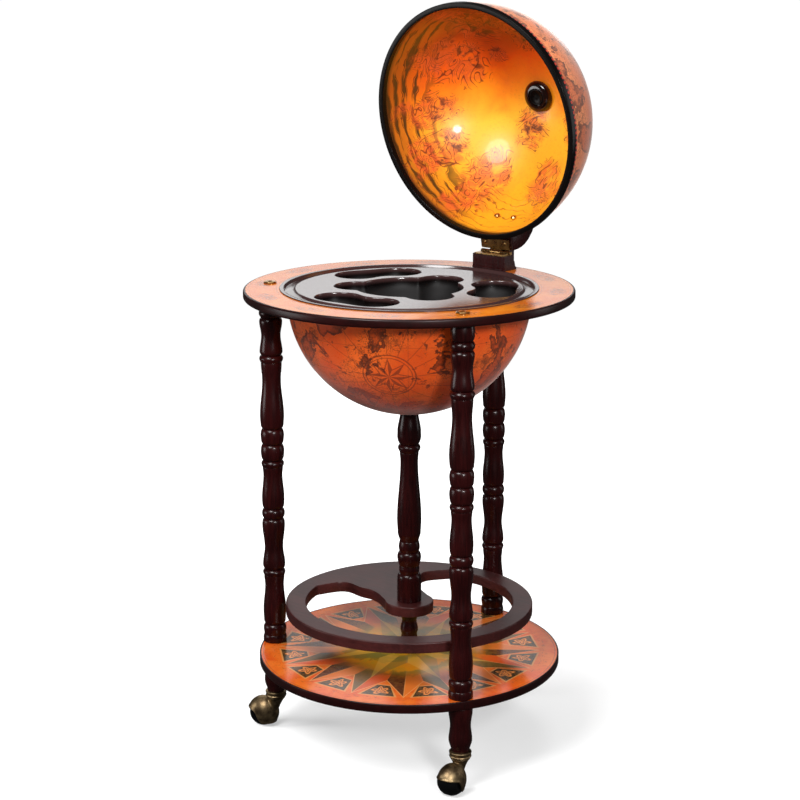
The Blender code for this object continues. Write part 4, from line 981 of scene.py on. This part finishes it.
def boardRing():
    # a printed top inside a dark rounded edge
    low, inside, opening = ringTop - ringSize["thickness"], ringSize["inside"], ringSize["opening"]
    lowEdge, topEdge, printTo = ringSize["lowEdge"], ringSize["topEdge"], ringSize["printTo"]
    line = [(opening, low + 0.0006), (opening + 0.0006, low), (ringRadius - lowEdge - 0.0004, low)]
    line += arc(ringRadius - lowEdge, low + lowEdge, lowEdge, radians(-90), radians(-5), 6)
    line += arc(ringRadius - topEdge, ringTop - topEdge - 0.0001, topEdge, radians(5), radians(80), 6)
    line += [(printTo - 0.0010, ringTop - 0.0001), (printTo - 0.0014, ringTop)]
    looks = [0] * (len(line) - 1)
    line += [(r, ringTop) for r in (printTo - 0.0022, *ringSize["printRows"], inside + 0.0002)]
    line += [(inside, ringTop - 0.0003), (inside, globeMiddle), (opening, globeMiddle)]
    looks += [1, 1, 1, 1, 0, 0, 0, 0]
    return shift(revolve(line, ringSize["sides"], closed=True, looks=looks), axisX, axisY)


dress(asPiece("horizon_ring_printed", boardRing(), [mahoganyFlat, ringPrint]), "stand", "horizon_ring",
      slot="printed_ring")


def boardShelf():
    # the print lies a little below the board's eased edge
    low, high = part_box("bottle_shelf")
    edge, bottom, top = (high.x - low.x) / 2, low.z, high.z
    lowEdge, topEdge, printTo = shelfSize["lowEdge"], shelfSize["topEdge"], shelfSize["printTo"]
    sunk = top - shelfSize["printSunk"]
    line = [(0, bottom), (edge - lowEdge - 0.0004, bottom)]
    line += arc(edge - lowEdge, bottom + lowEdge, lowEdge, radians(-90), radians(-5), 4)
    line += arc(edge - topEdge, top - topEdge - 0.0001, topEdge, radians(5), radians(80), 4)
    line += [(printTo, top - 0.0001), (printTo - 0.0003, sunk)]
    looks = [0] * len(line) + [1, 1, 1]
    line += [(r, sunk) for r in (printTo - 0.0006, *shelfSize["printRows"])]
    return shift(revolve(line, shelfSize["sides"], looks=looks), axisX, axisY)


dress(asPiece("bottle_shelf_printed", boardShelf(), [mahoganyFlat, shelfPrint]), "stand", "bottle_shelf",
      slot="printed_shelf")

gallerySize = {
    "radius": 0.1706, "width": 0.0276, "hub": 0.0335, "tongue": radians(150), "flare": radians(45),
    "leave": radians(72), "ringSteps": 90, "hubSteps": 40, "sides": 160,
    # the flared edge beside the tongue, in shares of the inner radius, after the two points at the hub
    "edge": [(0.46, 0.285), (0.56, 0.364), (0.734, 0.329), (0.7315, 0.5), (0.7245, 0.594)],
    # (inset, height over the bottom) and (inset, depth under the top) of the eased edges
    "lowEase": [(0.0012, 0), (0.0004, 0.0004), (0, 0.0012)],
    "topEase": [(0, 0.0016), (0.0003, 0.0008), (0.0009, 0.0002), (0.0018, 0), (0.0026, 0)],
}


def cubic(a, b, c, d, steps):
    points = []
    for k in range(1, steps + 1):
        t = k / steps
        points.append(a * (1 - t) ** 3 + b * 3 * (1 - t) ** 2 * t + c * 3 * (1 - t) * t * t + d * t ** 3)
    return points


def galleryOpening(inset):
    # round the ring, in along the flared tongue, round the hub and out again
    inner = gallerySize["radius"] - gallerySize["width"] + inset
    hub = gallerySize["hub"] - inset
    tongue, flare, leave = gallerySize["tongue"], gallerySize["flare"], gallerySize["leave"]
    along = Vector((cos(tongue), sin(tongue)))
    across = Vector((-along.y, along.x))
    waist = hub / inner
    atHub = [(0.16, waist * 0.95), (0.293, waist * 0.9), (0.393, waist)]
    stops = [Vector(p) for p in atHub + gallerySize["edge"]]
    edge = cubic(*stops[:4], 10) + cubic(*stops[3:7], 14) + [stops[7]]
    points = arc(0, 0, inner, tongue + flare, tongue + 2 * pi - flare, gallerySize["ringSteps"])
    points += [tuple((along * p.x - across * p.y) * inner) for p in edge[::-1]]
    points += arc(0, 0, hub, tongue - leave, tongue - 2 * pi + leave, gallerySize["hubSteps"])
    return points + [tuple((along * p.x + across * p.y) * inner) for p in edge]


def galleryBoard():
    top, bottom = heights("bottle_gallery")
    levels = [(inset, bottom + rise) for inset, rise in gallerySize["lowEase"]]
    levels += [(inset, top - down) for inset, down in gallerySize["topEase"]]
    sheet = []
    for inset, z in levels:
        outline = circleOf(gallerySize["radius"] - inset, gallerySize["sides"])
        sheet.append(([outline, galleryOpening(inset)], z))
    return shift(sheetOf(sheet), axisX, axisY)


dress(asPiece("gallery_board", galleryBoard(), [boardTop], 20), "stand", "bottle_gallery", slot="mahogany")
print("ring, shelf and gallery made")


# Globe

def bowlShell():
    # a thin bowl with a flange that lies in the ring's rebate, and the bolt's hole at the bottom
    outer, inner = globe["radius"] - 0.0003, globe["radius"] - globe["bowlWall"]
    hole, flange, flangeLow, flangeTop = 0.0043, 0.1690, globeMiddle + 0.0003, globeMiddle + 0.0018
    outerPole, innerPole = (asin(-sqrt(1 - (hole / r) ** 2)) for r in (outer, inner))
    line = arc(0, globeMiddle, outer, outerPole, asin(0.0002 / outer), globe["rows"])
    line += [(outer, flangeLow), (flange, flangeLow), (flange, flangeTop), (inner, flangeTop)]
    line += arc(0, globeMiddle, inner, asin(0.0005 / inner), innerPole, globe["rows"])
    return shift(revolve(line, globe["sides"], closed=True), axisX, axisY)


dress(asPiece("globe_bowl_chart", bowlShell(), [bowlMap]), "stand", "globe_bowl", slot="globe_outside")

poleHole = 0.0034


def lidShell():
    outer, inner, aboveRim = globe["radius"], lidInside, 0.002
    line = arc(0, 0, outer, asin(aboveRim / outer), pi / 2 - asin(poleHole / outer), globe["rows"])
    line += arc(0, 0, inner, pi / 2 - asin(poleHole / inner), asin(aboveRim / inner), globe["rows"])
    looks = [0] * globe["rows"] + [0] + [1] * globe["rows"] + [0]
    return turnAt(revolve(line, globe["sides"], closed=True, looks=looks), lidPlace)


dress(asPiece("globe_lid_painted", lidShell(), [lidMap, sky]), "lid", "globe_lid", slot="globe_outside")

trimSize = {"wall": 0.0014, "depth": 0.009, "outerGap": 0.0003, "innerGap": 0.0006, "round": 0.0009}


def trimHoop():
    # a black channel pushed over the lid's rim, its lips rounded
    wall, deep, rounding = trimSize["wall"], trimSize["depth"], trimSize["round"]
    outside = globe["radius"] + trimSize["outerGap"]
    inside = lidInside - trimSize["innerGap"]

    def lip(r):
        return [(r, deep - 0.0006), (r + wall * 0.3, deep - 0.0001), (r + wall * 0.7, deep - 0.0001),
                (r + wall, deep - 0.0006)]

    line = arc(outside + wall - rounding, rounding, rounding, radians(0), radians(-90), 4)
    line += arc(inside - wall + rounding, rounding, rounding, radians(-90), radians(-180), 4)
    line += lip(inside - wall) + [(inside, wall), (outside, wall)] + lip(outside)
    return turnAt(revolve(line, globe["sides"], closed=True), lidPlace)


dress(asPiece("lid_trim_hoop", trimHoop(), [blackTrim]), "lid", "lid_trim", slot="black_trim")

bossLow = lidInside - 0.0114
poleSize = {
    "bossInside": (0.0034, 0.012, 0.0222), "bossGap": 0.0009, "bossSides": 64,
    "bossMiddle": [(0.0126, 0.0006), (0.0124, 0.0029), (0.0034, 0.0029)],
    # (radius, depth under the cap's upper face)
    "dish": [(0, 0), (0.0116, 0), (0.0119, 0.0008), (0.0116, 0.0016), (0.0109, 0.0019), (0.0098, 0.0016),
             (0.0075, 0.0010), (0.0050, 0.0007), (0.0025, 0.0007), (0, 0.0008)],
    # (radius, height over the lid) and (radius, depth under the tip)
    "knob": [(0.0031, 0), (0.0118, -0.0003), (0.0130, 0.0004), (0.0131, 0.0014), (0.0124, 0.0024),
             (0.0105, 0.0031), (0.0086, 0.0040), (0.0076, 0.0052), (0.0073, 0.0066), (0.0079, 0.0080),
             (0.0085, 0.0092)],
    "knobTip": [(0.0086, 0.0048), (0.0082, 0.0026), (0.0070, 0.0009), (0.0052, 0.0001), (0, 0)],
    "knobShank": 0.0031, "knobHeight": 0.0152, "knobSides": 48,
}


def poleBoss():
    # a domed button inside the pole with a dished middle
    line = [(r, sqrt(lidInside ** 2 - r ** 2) - poleSize["bossGap"]) for r in poleSize["bossInside"]]
    for k in range(13):
        a = k / 12 * pi / 2
        line.append((0.0128 + 0.0099 * cos(a) ** 0.8, bossLow + 0.0072 * (1 - sin(a) ** 0.9)))
    line += [(r, bossLow + up) for r, up in poleSize["bossMiddle"]]
    return turnAt(revolve(line, poleSize["bossSides"], closed=True), lidPlace)


def poleDish():
    line = [(r, bossLow + 0.0027 - down) for r, down in poleSize["dish"]]
    return turnAt(revolve(line, poleSize["bossSides"]), lidPlace)


def poleKnob():
    low, onLid, tip = bossLow + 0.0033, globe["radius"] + 0.0004, globe["radius"] + poleSize["knobHeight"]
    line = [(0, low), (poleSize["knobShank"], low)]
    line += [(r, onLid + up) for r, up in poleSize["knob"]]
    line += [(r, tip - down) for r, down in poleSize["knobTip"]]
    return turnAt(revolve(line, poleSize["knobSides"]), lidPlace)


dress(asPiece("pole_boss", poleBoss(), [brownPlastic], 45), "lid", "lid_boss", slot="brown_plastic")
dress(asPiece("pole_dish", poleDish(), [blackTrim], 45), "lid", "boss_cap", slot="black_trim")
dress(asPiece("pole_knob_turned", poleKnob(), [brass], 45), "lid", "pole_knob", slot="brass")
print("globe made")


# Serving tray

tray = {
    "sheet": 0.0016, "deckEdge": 0.1524, "flange": 0.1740, "shoulder": 0.1692, "channelOut": 0.1664,
    "channelIn": 0.1560, "lip": 0.0026, "draft": 0.009,
    "wells": [radians(a) for a in (-88, 32, 152)], "wellRadius": 0.0315, "wellCircle": 0.1165,
    "spread": radians(15.5), "waist": 0.0042, "wellDepth": 0.060,
    "middleRadius": 0.073, "middleDepth": 0.108, "lobeBlend": 0.007,
}


def doubleWell(middle, inset):
    # two round ends joined by sides that are drawn in at the middle
    radius, circle = tray["wellRadius"] - inset, tray["wellCircle"]
    start, end = middle - tray["spread"], middle + tray["spread"]

    def side(out, fromAngle, toAngle):
        points = []
        for k in range(13):
            a = fromAngle + (toAngle - fromAngle) * k / 12
            r = circle + out * (radius - tray["waist"] * sin(pi * k / 12) ** 2)
            points.append((r * cos(a), r * sin(a)))
        return points

    def roundEnd(at, fromAngle):
        return arc(circle * cos(at), circle * sin(at), radius, fromAngle, fromAngle + pi, 18)[1:-1]

    return side(1, start, end) + roundEnd(end, end) + side(-1, end, start) + roundEnd(start, start + pi)


def middleWell(inset):
    # a round well with three lobes, each between two of the double wells
    full, blend = tray["middleRadius"], tray["lobeBlend"]
    lobe, lobeAt = 0.44 * full, 0.96 * full
    points = []
    for k in range(180):
        a = 2 * pi * k / 180
        radius = full
        for middle in tray["wells"]:
            off = (a - middle) % (2 * pi) - pi
            inner = lobe ** 2 - (lobeAt * sin(off)) ** 2
            if abs(off) < pi / 3 and inner > 0:
                reach = lobeAt * cos(off) + sqrt(inner)
                radius = max(radius, reach) + max(0, blend - abs(radius - reach)) ** 2 / (4 * blend)
        points.append(((radius - inset) * cos(a), (radius - inset) * sin(a)))
    return points


def wellOutline(number, inset):
    if number < len(tray["wells"]):
        return doubleWell(tray["wells"][number], inset)
    return middleWell(inset)


def wellSteps(depth):
    # (inset, drop) from the rolled lip down to the floor
    lip, draft = tray["lip"], tray["draft"]
    return [(-0.0006, 0), (-0.0002, 0.0001), (0.0002, 0.0005), (0.0005, 0.0012), (0.0006, lip),
            (draft * 0.3, depth * 0.5), (draft * 0.48, depth - draft), (draft * 0.56, depth - draft * 0.5),
            (draft * 0.72, depth - draft * 0.15), (draft, depth)]


def formedTray():
    # a formed sheet: both skins follow the same rounded section
    thick, edge, flange, shoulder = (tray[key] for key in ("sheet", "deckEdge", "flange", "shoulder"))
    channelOut, channelIn = tray["channelOut"], tray["channelIn"]
    deck, channel, under = ringTop + 0.0004, ringTop - 0.0030, ringTop + 0.0003
    top = ringTop + thick
    upper = [(flange, ringTop + 0.0009), (flange - 0.0005, top - 0.0001), (flange - 0.0012, top),
             (shoulder, top), (shoulder - 0.0008, top - 0.0003), (shoulder - 0.0013, top - 0.0012),
             (channelOut + 0.0006, channel + 0.0006), (channelOut, channel), (channelIn, channel),
             (channelIn - 0.0015, channel + 0.0006), (channelIn - 0.0022, channel + 0.0016),
             (edge + 0.0006, deck - 0.0007), (edge, deck - 0.0001), (edge - 0.0012, deck),
             (edge - 0.0020, deck)]
    lower = [(flange, under), (shoulder, under), (shoulder - 0.0004, channel - thick),
             (channelIn - 0.0024, channel - thick), (edge - 0.0002, deck - thick - 0.0012),
             (edge - 0.0011, deck - thick), (edge - 0.0015, deck - thick)]
    bm = bmesh.new()

    def row(loop, z):
        return [bm.verts.new((x, y, z)) for x, y in loop]

    rims = []
    for line, sheet in ((upper, 0), (lower, thick)):
        rows = [row(circleOf(r, globe["sides"]), z) for r, z in line]
        for a, b in zip(rows, rows[1:]):
            stitch(bm, a, b)
        rims.append(rows[0])
        loops, ends = [circleOf(line[-1][0], globe["sides"])], [rows[-1]]
        for number in range(len(tray["wells"]) + 1):
            steps = wellSteps(tray["wellDepth"] if number < len(tray["wells"]) else tray["middleDepth"])
            if line is upper:
                steps = [(-0.0012, 0)] + steps   # a flat loop keeps the deck's shading level
            last = None
            for inset, drop in steps:
                outline = wellOutline(number, inset - sheet)
                current = row(outline, deck - drop - sheet)
                if last:
                    stitch(bm, last, current)
                else:
                    loops.append(outline)
                    ends.append(current)
                last = current
            faceIn(bm, [outline], [last])
        faceIn(bm, loops, ends)
    stitch(bm, *rims)
    return shift(bm, axisX, axisY)


dress(asPiece("serving_tray_formed", formedTray(), [trayPlastic], 38), "stand", "serving_tray",
      slot="tray_plastic")
print("tray made")


# Bolts and screws

boltSize = {
    "points": 24, "smoothBelow": 30,
    # (radius, height over the seat)
    "head": [(0.0036, -0.040), (0.0036, 0), (0.0085, 0), (0.0089, 0.0005), (0.0089, 0.0011),
             (0.0085, 0.0017), (0.0076, 0.0022), (0.0058, 0.0025), (0.0046, 0.0024)],
    "socket": [(0.0036, 0.0022), (0.0034, 0.0004)],
}
screwSize = {"radius": 0.0027, "length": 0.012, "point": 0.003}
leaf = {"spread": 0.017, "back": 0.0123, "gap": 0.0005, "thick": 0.0015, "sink": 0.0003}


def pointLoop(reachAt, z):
    # a ring of points whose reach from the axis changes with the angle
    loop = []
    for k in range(boltSize["points"]):
        a = 2 * pi * k / boltSize["points"]
        loop.append((reachAt(a) * cos(a), reachAt(a) * sin(a), z))
    return loop


def roundLoop(radius, z):
    return pointLoop(lambda a: radius, z)


def hexLoop(radius, z):
    return pointLoop(lambda a: radius * cos(pi / 6) / cos((a % (pi / 3)) - pi / 6), z)


def slotLoop(length, width, z):
    return pointLoop(lambda a: min(length / max(1e-6, abs(cos(a))), width / max(1e-6, abs(sin(a)))), z)


def socketBolt():
    # a low brass head with a hexagon socket
    loops = [roundLoop(*ring) for ring in boltSize["head"]] + [hexLoop(*ring) for ring in boltSize["socket"]]
    return asPiece("bolt", loft(loops), [brass], boltSize["smoothBelow"])


def slottedScrew():
    # a countersunk head with a sawn slot
    radius, length = screwSize["radius"], screwSize["length"]
    loops = [roundLoop(radius * 0.2, -length), roundLoop(radius * 0.48, -length + screwSize["point"]),
             roundLoop(radius * 0.48, -radius * 0.3), roundLoop(radius * 0.97, -0.0001),
             roundLoop(radius, 0.0001), roundLoop(radius * 0.8, 0.0004),
             slotLoop(radius * 0.72, radius * 0.16, 0.0004),
             slotLoop(radius * 0.72, radius * 0.14, -radius * 0.12)]
    return asPiece("screw", loft(loops), [brass], boltSize["smoothBelow"])


def brassPair(name, piece, first, step, turn):
    return grow(name, screwRow, {"Piece": piece, "Count": 2, "First": first, "Step": step, "Turn": turn,
                                 "Finish": brass.material}, boltSize["smoothBelow"])


def legPlace(name, z):
    a = legAngles[name]
    return Vector((axisX + legCircle * cos(a), axisY + legCircle * sin(a), z))


leftBolt, rightBolt = (legPlace(name, ringTop + 0.0003) for name in ("left", "right"))
bolts = brassPair("ring_bolts", socketBolt(), leftBolt, rightBolt - leftBolt, (0, 0, 0.3))
dress(bolts, "stand", "ring_bolt_left", "ring_bolt_right", slot="brass")

# the heads lie a little below the faces of the leaves, which close on each other
headDrop = leaf["gap"] / 2 + leaf["sink"]
betweenScrews = (2 * leaf["spread"], 0, 0)
firstLower = (-leaf["spread"], pinY - leaf["back"], pinZ - headDrop)
lowerScrews = brassPair("lower_leaf_screws", slottedScrew(), firstLower, betweenScrews, (0, 0, 0.5))
dress(lowerScrews, "stand", "leaf_screw_lower_left", "leaf_screw_lower_right", slot="brass")
firstUpper = (-leaf["spread"], -leaf["back"], headDrop)
upperScrews = brassPair("upper_leaf_screws", slottedScrew(), firstUpper, betweenScrews, (pi, 0, 0.2))
upperScrews.data.transform(lidTurn)
dress(upperScrews, "lid", "leaf_screw_upper_left", "leaf_screw_upper_right", slot="brass")
print("bolts and screws made")


# Hinge block

block = {
    "half": 0.028, "height": 0.071, "round": 0.0014, "front": 0.11, "overLeaf": 0.0003, "overGlobe": 0.0005,
    # the corbel's curved back: (share of the height, distance from the pin)
    "back": [(0.04, -0.0038), (0.11, -0.0029), (0.23, -0.0024), (0.34, -0.0028), (0.46, -0.0048),
             (0.59, -0.0092), (0.73, -0.0168), (0.87, -0.0288), (0.97, -0.0428), (1.0, -0.0548)],
}


def insetOutline(outline, amount):
    # every corner of a (y, z) outline moved along its own middle direction
    points = []
    count = len(outline)
    for k in range(count):
        a, b, c = (Vector(outline[(k + d) % count]) for d in (-1, 0, 1))
        u, w = (b - a).normalized(), (c - b).normalized()
        n1, n2 = Vector((-u.y, u.x)), Vector((-w.y, w.x))
        n = n1 + n2
        n = n / max(0.35, n.dot(n1)) if n.length > 1e-6 else n1
        points.append(b + n * amount)
    return points


def boardPrism(outline, half, rounding):
    # a (y, z) outline sawn to a width, its side edges rounded
    area = sum(a[0] * b[1] - b[0] * a[1] for a, b in zip(outline[-1:] + outline[:-1], outline))
    inwards = 1 if area > 0 else -1
    loops = []
    for x, amount in ((-half, rounding), (-half + rounding * 0.3, rounding * 0.3), (-half + rounding, 0),
                      (half - rounding, 0), (half - rounding * 0.3, rounding * 0.3), (half, rounding)):
        loops.append([(x, p.x, p.y) for p in insetOutline(outline, inwards * amount)])
    return loft(loops)


def hingeBlockSolid():
    # the block stands on the upper leaf and is hollowed to fit the globe
    height, foot = block["height"], leaf["gap"] / 2 + leaf["thick"] + block["overLeaf"]
    outline = [(y, max(height * share, foot)) for share, y in block["back"]]
    outline += [(block["front"] - hingeReach, height), (block["front"] - hingeReach, foot)]
    body = boardPrism(outline, block["half"], block["round"])
    r = globe["radius"] + block["overGlobe"]
    ball = revolve([(0, -r)] + arc(0, 0, r, -pi / 2 * 0.98, pi / 2 * 0.98, 90) + [(0, r)], 256)
    shift(ball, 0, -hingeReach, -rimDrop)
    return turnAt(cutAndJoin("block", body, [("DIFFERENCE", ball)]), lidTurn)


dress(asPiece("hinge_block_shaped", hingeBlockSolid(), [mahogany], 30), "lid", "hinge_block",
      slot="mahogany")
print("hinge block made")


# Casters

caster = {
    "ball": 0.0195, "trail": 0.020, "half": 0.0150, "wall": 0.0016, "clear": 0.0018, "cheekGap": 0.0008,
    "lip": 0.0007, "lipHeight": 0.0022, "wide": 0.05, "far": 0.04, "voxel": 0.0007, "easing": 4, "sides": 72,
    "headings": {"back": radians(200), "left": radians(196), "right": radians(274)},
    # the hood's lower edge: (x, z) from the ball's middle
    "below": [(0.04, 0.0096), (0.0200, 0.0062), (0.0120, 0.0046), (0.0082, 0.0036), (0.0058, 0.0016),
              (0.0038, -0.0018), (0.0020, -0.0060), (-0.0004, -0.0106), (-0.0040, -0.0145),
              (-0.04, -0.0145)],
    # the neck: (middle's x, depth under the collar, radius)
    "neck": [(0.0, 0, 0.0128), (0.0, 0.0006, 0.0134), (0.0, 0.0018, 0.0132), (0.0002, 0.0036, 0.0116),
             (0.0006, 0.0064, 0.0101), (0.0012, 0.0100, 0.0088), (0.0022, 0.0140, 0.0078),
             (0.0036, 0.0190, 0.0070), (0.0060, 0.0240, 0.0062)],
    "neckSides": 48,
    # half of the wheel's section: shares of its radius and of its half width
    "wheel": [(0.1077, 0.90), (0.38, 0.90), (0.42, 1.0), (0.60, 1.0), (0.70, 0.93), (0.80, 0.80),
              (0.89, 0.63), (0.955, 0.45), (0.99, 0.30), (1.0, 0.2)],
}
socketLow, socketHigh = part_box("caster_socket_back")
hoodTop = socketLow.z - 0.0003
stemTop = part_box("caster_hood_back")[1].z
onAxle = Matrix.Translation((caster["trail"], 0, caster["ball"])) @ Matrix.Rotation(pi / 2, 4, "X")


def drum(radius, half):
    # a crowned roller lying on the axle, nearly a ball
    line = [(radius * sin(pi * k / 24) ** 0.86, -half * cos(pi * k / 24)) for k in range(1, 24)]
    return turnAt(revolve([(0, -half)] + line + [(0, half)], caster["sides"]), onAxle)


def slab(outline):
    # an (x, z) outline sawn wide across the caster
    return loft([[(x, y, z) for x, z in outline] for y in (-caster["wide"], caster["wide"])])


def neck():
    # the swivel plate under the collar and the neck that runs down into the hood
    rings = []
    for middle, down, radius in caster["neck"]:
        rings.append([(middle + x, y, hoodTop - down) for x, y in circleOf(radius, caster["neckSides"])])
    return loft(rings)


def hoodSolid():
    ball, trail, far = caster["ball"], caster["trail"], caster["far"]
    inner, cheek = ball + caster["clear"], caster["half"] + caster["cheekGap"]
    outer, side = inner + caster["wall"], cheek + caster["wall"]
    below = [(trail + x, ball + z) for x, z in caster["below"]]
    raised = [(x, z + caster["lipHeight"]) for x, z in below]
    foot = hoodTop - 0.004
    stem = [(0, foot), (0.0039, foot), (0.0039, stemTop - 0.0006), (0.0033, stemTop), (0, stemTop)]
    lip = cutAndJoin("lip", drum(outer + caster["lip"], side + caster["lip"]),
                     [("INTERSECT", slab(below + raised[::-1]))])
    return cutAndJoin("hood", drum(outer, side), [
        ("UNION", neck()), ("UNION", revolve(stem, caster["neckSides"])), ("UNION", lip),
        ("DIFFERENCE", drum(inner, cheek)),
        ("DIFFERENCE", slab(below + [(trail - far, -far), (trail + far, -far)]))])


def castSoft(bm):
    # remeshed and eased, as a casting is
    ob = looseObject("cast", bm)
    remesh = ob.modifiers.new("even", "REMESH")
    remesh.mode = "VOXEL"
    remesh.voxel_size = caster["voxel"]
    ease = ob.modifiers.new("ease", "SMOOTH")
    ease.factor = 0.5
    ease.iterations = caster["easing"]
    return modified(ob)


def wheelSolid():
    # a crowned rubber wheel with shoulders, and a shallow hub recess
    half = [(caster["ball"] * a, caster["half"] * b) for a, b in caster["wheel"]]
    line = [(r, -y) for r, y in half] + half[::-1]
    return revolve(line, caster["sides"], closed=True)


def collarPiece():
    # the band under the foot, with a rolled lower edge
    low, top, bore = socketLow.z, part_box("foot_back")[0].z - 0.0003, 0.00405
    line = [(bore, low), (0.0118, low)]
    line += arc(0.0134, low + 0.0014, 0.0014, radians(-120), radians(60), 6)
    line += [(0.0139, low + 0.0032), (0.0144, low + 0.0046)]
    line += arc(0.0139, top - 0.0012, 0.0011, radians(-20), radians(90), 5)
    line += [(0.0066, top), (0.0066, socketHigh.z), (bore, socketHigh.z)]
    return asPiece("collar", revolve(line, 48, closed=True), [agedBrass], 35)


softHood = castSoft(hoodSolid())
for name, heading in caster["headings"].items():
    swivel = Matrix.Translation(legPlace(name, 0)) @ Matrix.Rotation(heading, 4, "Z")
    hood = asPiece("hood_" + name, turnAt(softHood.copy(), swivel), [agedBrass], 50)
    dress(hood, "caster_" + name, "caster_hood_" + name, slot="antique_brass")
    wheel = asPiece("wheel_" + name, turnAt(wheelSolid(), swivel @ onAxle), [casterRubber], 28)
    dress(wheel, "wheel_" + name, "caster_wheel_" + name, slot="caster_rubber")
softHood.free()

collars = grow("caster_collars", aroundStand,
               {**aroundLegs, "Piece": collarPiece(), "Finish": agedBrass.material}, 35)
dress(collars, "stand", "caster_socket_back", "caster_socket_left", "caster_socket_right",
      slot="antique_brass")
print("casters made")

brassNodes = ("hinge_leaf_lower", "hinge_leaf_upper", "hinge_pin", "block_screw_left", "block_screw_right",
              "shelf_screw")
cadLooks = {"hinge_riser": mahogany, **dict.fromkeys(brassNodes, brass)}
for node, ob in frame["nodes"].items():
    ob.data.materials.clear()
    ob.data.materials.append(cadLooks.get(node, steel).material)   # the studs and hidden bolts are steel
print("frame pieces finished")


# Stage, light and camera

def stageFloor():
    # a pale disc with a painted glow, dimmest round the stand, that brightens outwards until it meets the
    # white background
    bm = bmesh.new()
    bmesh.ops.create_circle(bm, cap_ends=True, segments=96, radius=2.3)
    floor = looseObject("floor", bm)
    floor.location = (axisX, axisY, -0.0002)
    pale = Finish("pale floor", (0.55, 0.55, 0.55), 0.7, specular=0.0)
    x, y = pale.parts(pale.place)[:2]
    away = pale.rise((x * x + y * y) ** 0.5, 0.25, 1.1)
    pale.put("Emission Color", pale.mix(away, (0.42, 0.42, 0.42), (1, 1, 1)))
    pale.put("Emission Strength", 1.02)
    floor.data.materials.append(pale.material)
    floor.visible_glossy = False
    floor.visible_diffuse = False
    return floor


def softLight(name, at, aim, size, power, only=None):
    light = bpy.data.lights.new(name, "AREA")
    light.shape = "ELLIPSE"
    light.size, light.size_y = size
    light.energy = power
    ob = bpy.data.objects.new(name, light)
    ob.location = at
    ob.rotation_euler = (Vector(aim) - Vector(at)).to_track_quat("-Z", "Y").to_euler()
    bpy.context.scene.collection.objects.link(ob)
    if only:
        ob.light_linking.receiver_collection = only


floorAlone = bpy.data.collections.new("floor alone")
floorAlone.objects.link(stageFloor())
# the focal length is in pixels of the picture's width
shot = {"azimuth": radians(39.4616), "distance": 2.6437, "height": 1.1298, "pitch": radians(12.0065),
        "focal": 2004.37, "width": 800, "sensor": 36, "shift": (-0.01152, -0.075)}
towards = Vector((sin(shot["azimuth"]), -cos(shot["azimuth"]), 0))
sideways = Vector((cos(shot["azimuth"]), sin(shot["azimuth"]), 0))
centre = Vector((axisX, axisY, 0))

lights = {
    # towards the camera, to its right and up, in metres; then what it looks at, its size and its power
    "key": ((1.47, -0.96, 2.07), 0.75, (1.0, 1.0), 52),
    "glint": ((2.02, 0.62, 1.30), 0.80, (0.36, 0.30), 30),
    "left card": ((0.2, -2.1, 0.5), 0.20, (0.9, 0.7), 8),
    "right card": ((-0.3, 2.1, 0.9), 0.40, (0.4, 1.7), 5),
    "top": ((0.0, 0.0, 2.9), 0.0, (2.4, 2.4), 20),
    "back card": ((-2.2, -0.25, 1.35), 0.60, (2.6, 0.9), 9),
    "floor top": ((0.0, 0.0, 2.9), 0.0, (1.8, 1.8), 28),
    "floor left": ((0.1, -1.6, 0.55), 0.05, (0.8, 0.45), 26),
}
for name, ((forward, right, up), aim, size, power) in lights.items():
    at = centre + towards * forward + sideways * right + Vector((0, 0, up))
    softLight(name, at, centre + Vector((0, 0, aim)), size, power,
              floorAlone if name.startswith("floor") else None)

world = bpy.data.worlds.new("studio")
world.use_nodes = True
bpy.context.scene.world = world
sceneBoard = Board(world.node_tree)
seen = sceneBoard.add("ShaderNodeLightPath", out="Is Camera Ray")
spread = sceneBoard.add("ShaderNodeLightPath", out="Is Diffuse Ray")
backdrop = world.node_tree.nodes["Background"]
sceneBoard.feed(backdrop.inputs["Color"], (1, 1, 1))
sceneBoard.feed(backdrop.inputs["Strength"], 0.05 + 0.97 * seen + 0.20 * spread)
bpy.context.scene.view_settings.view_transform = "Standard"

camera = bpy.data.cameras.new("camera")
camera.sensor_width = shot["sensor"]
camera.lens = shot["focal"] / shot["width"] * shot["sensor"]
camera.shift_x, camera.shift_y = shot["shift"]
camera.clip_start, camera.clip_end = 0.05, 60
cameraObject = bpy.data.objects.new("camera", camera)
cameraObject.location = centre + towards * shot["distance"] + Vector((0, 0, shot["height"]))
looking = -towards * cos(shot["pitch"]) - Vector((0, 0, sin(shot["pitch"])))
cameraObject.rotation_euler = looking.to_track_quat("-Z", "Y").to_euler()
bpy.context.scene.collection.objects.link(cameraObject)
bpy.context.scene.camera = cameraObject

print("stage, light and camera set")
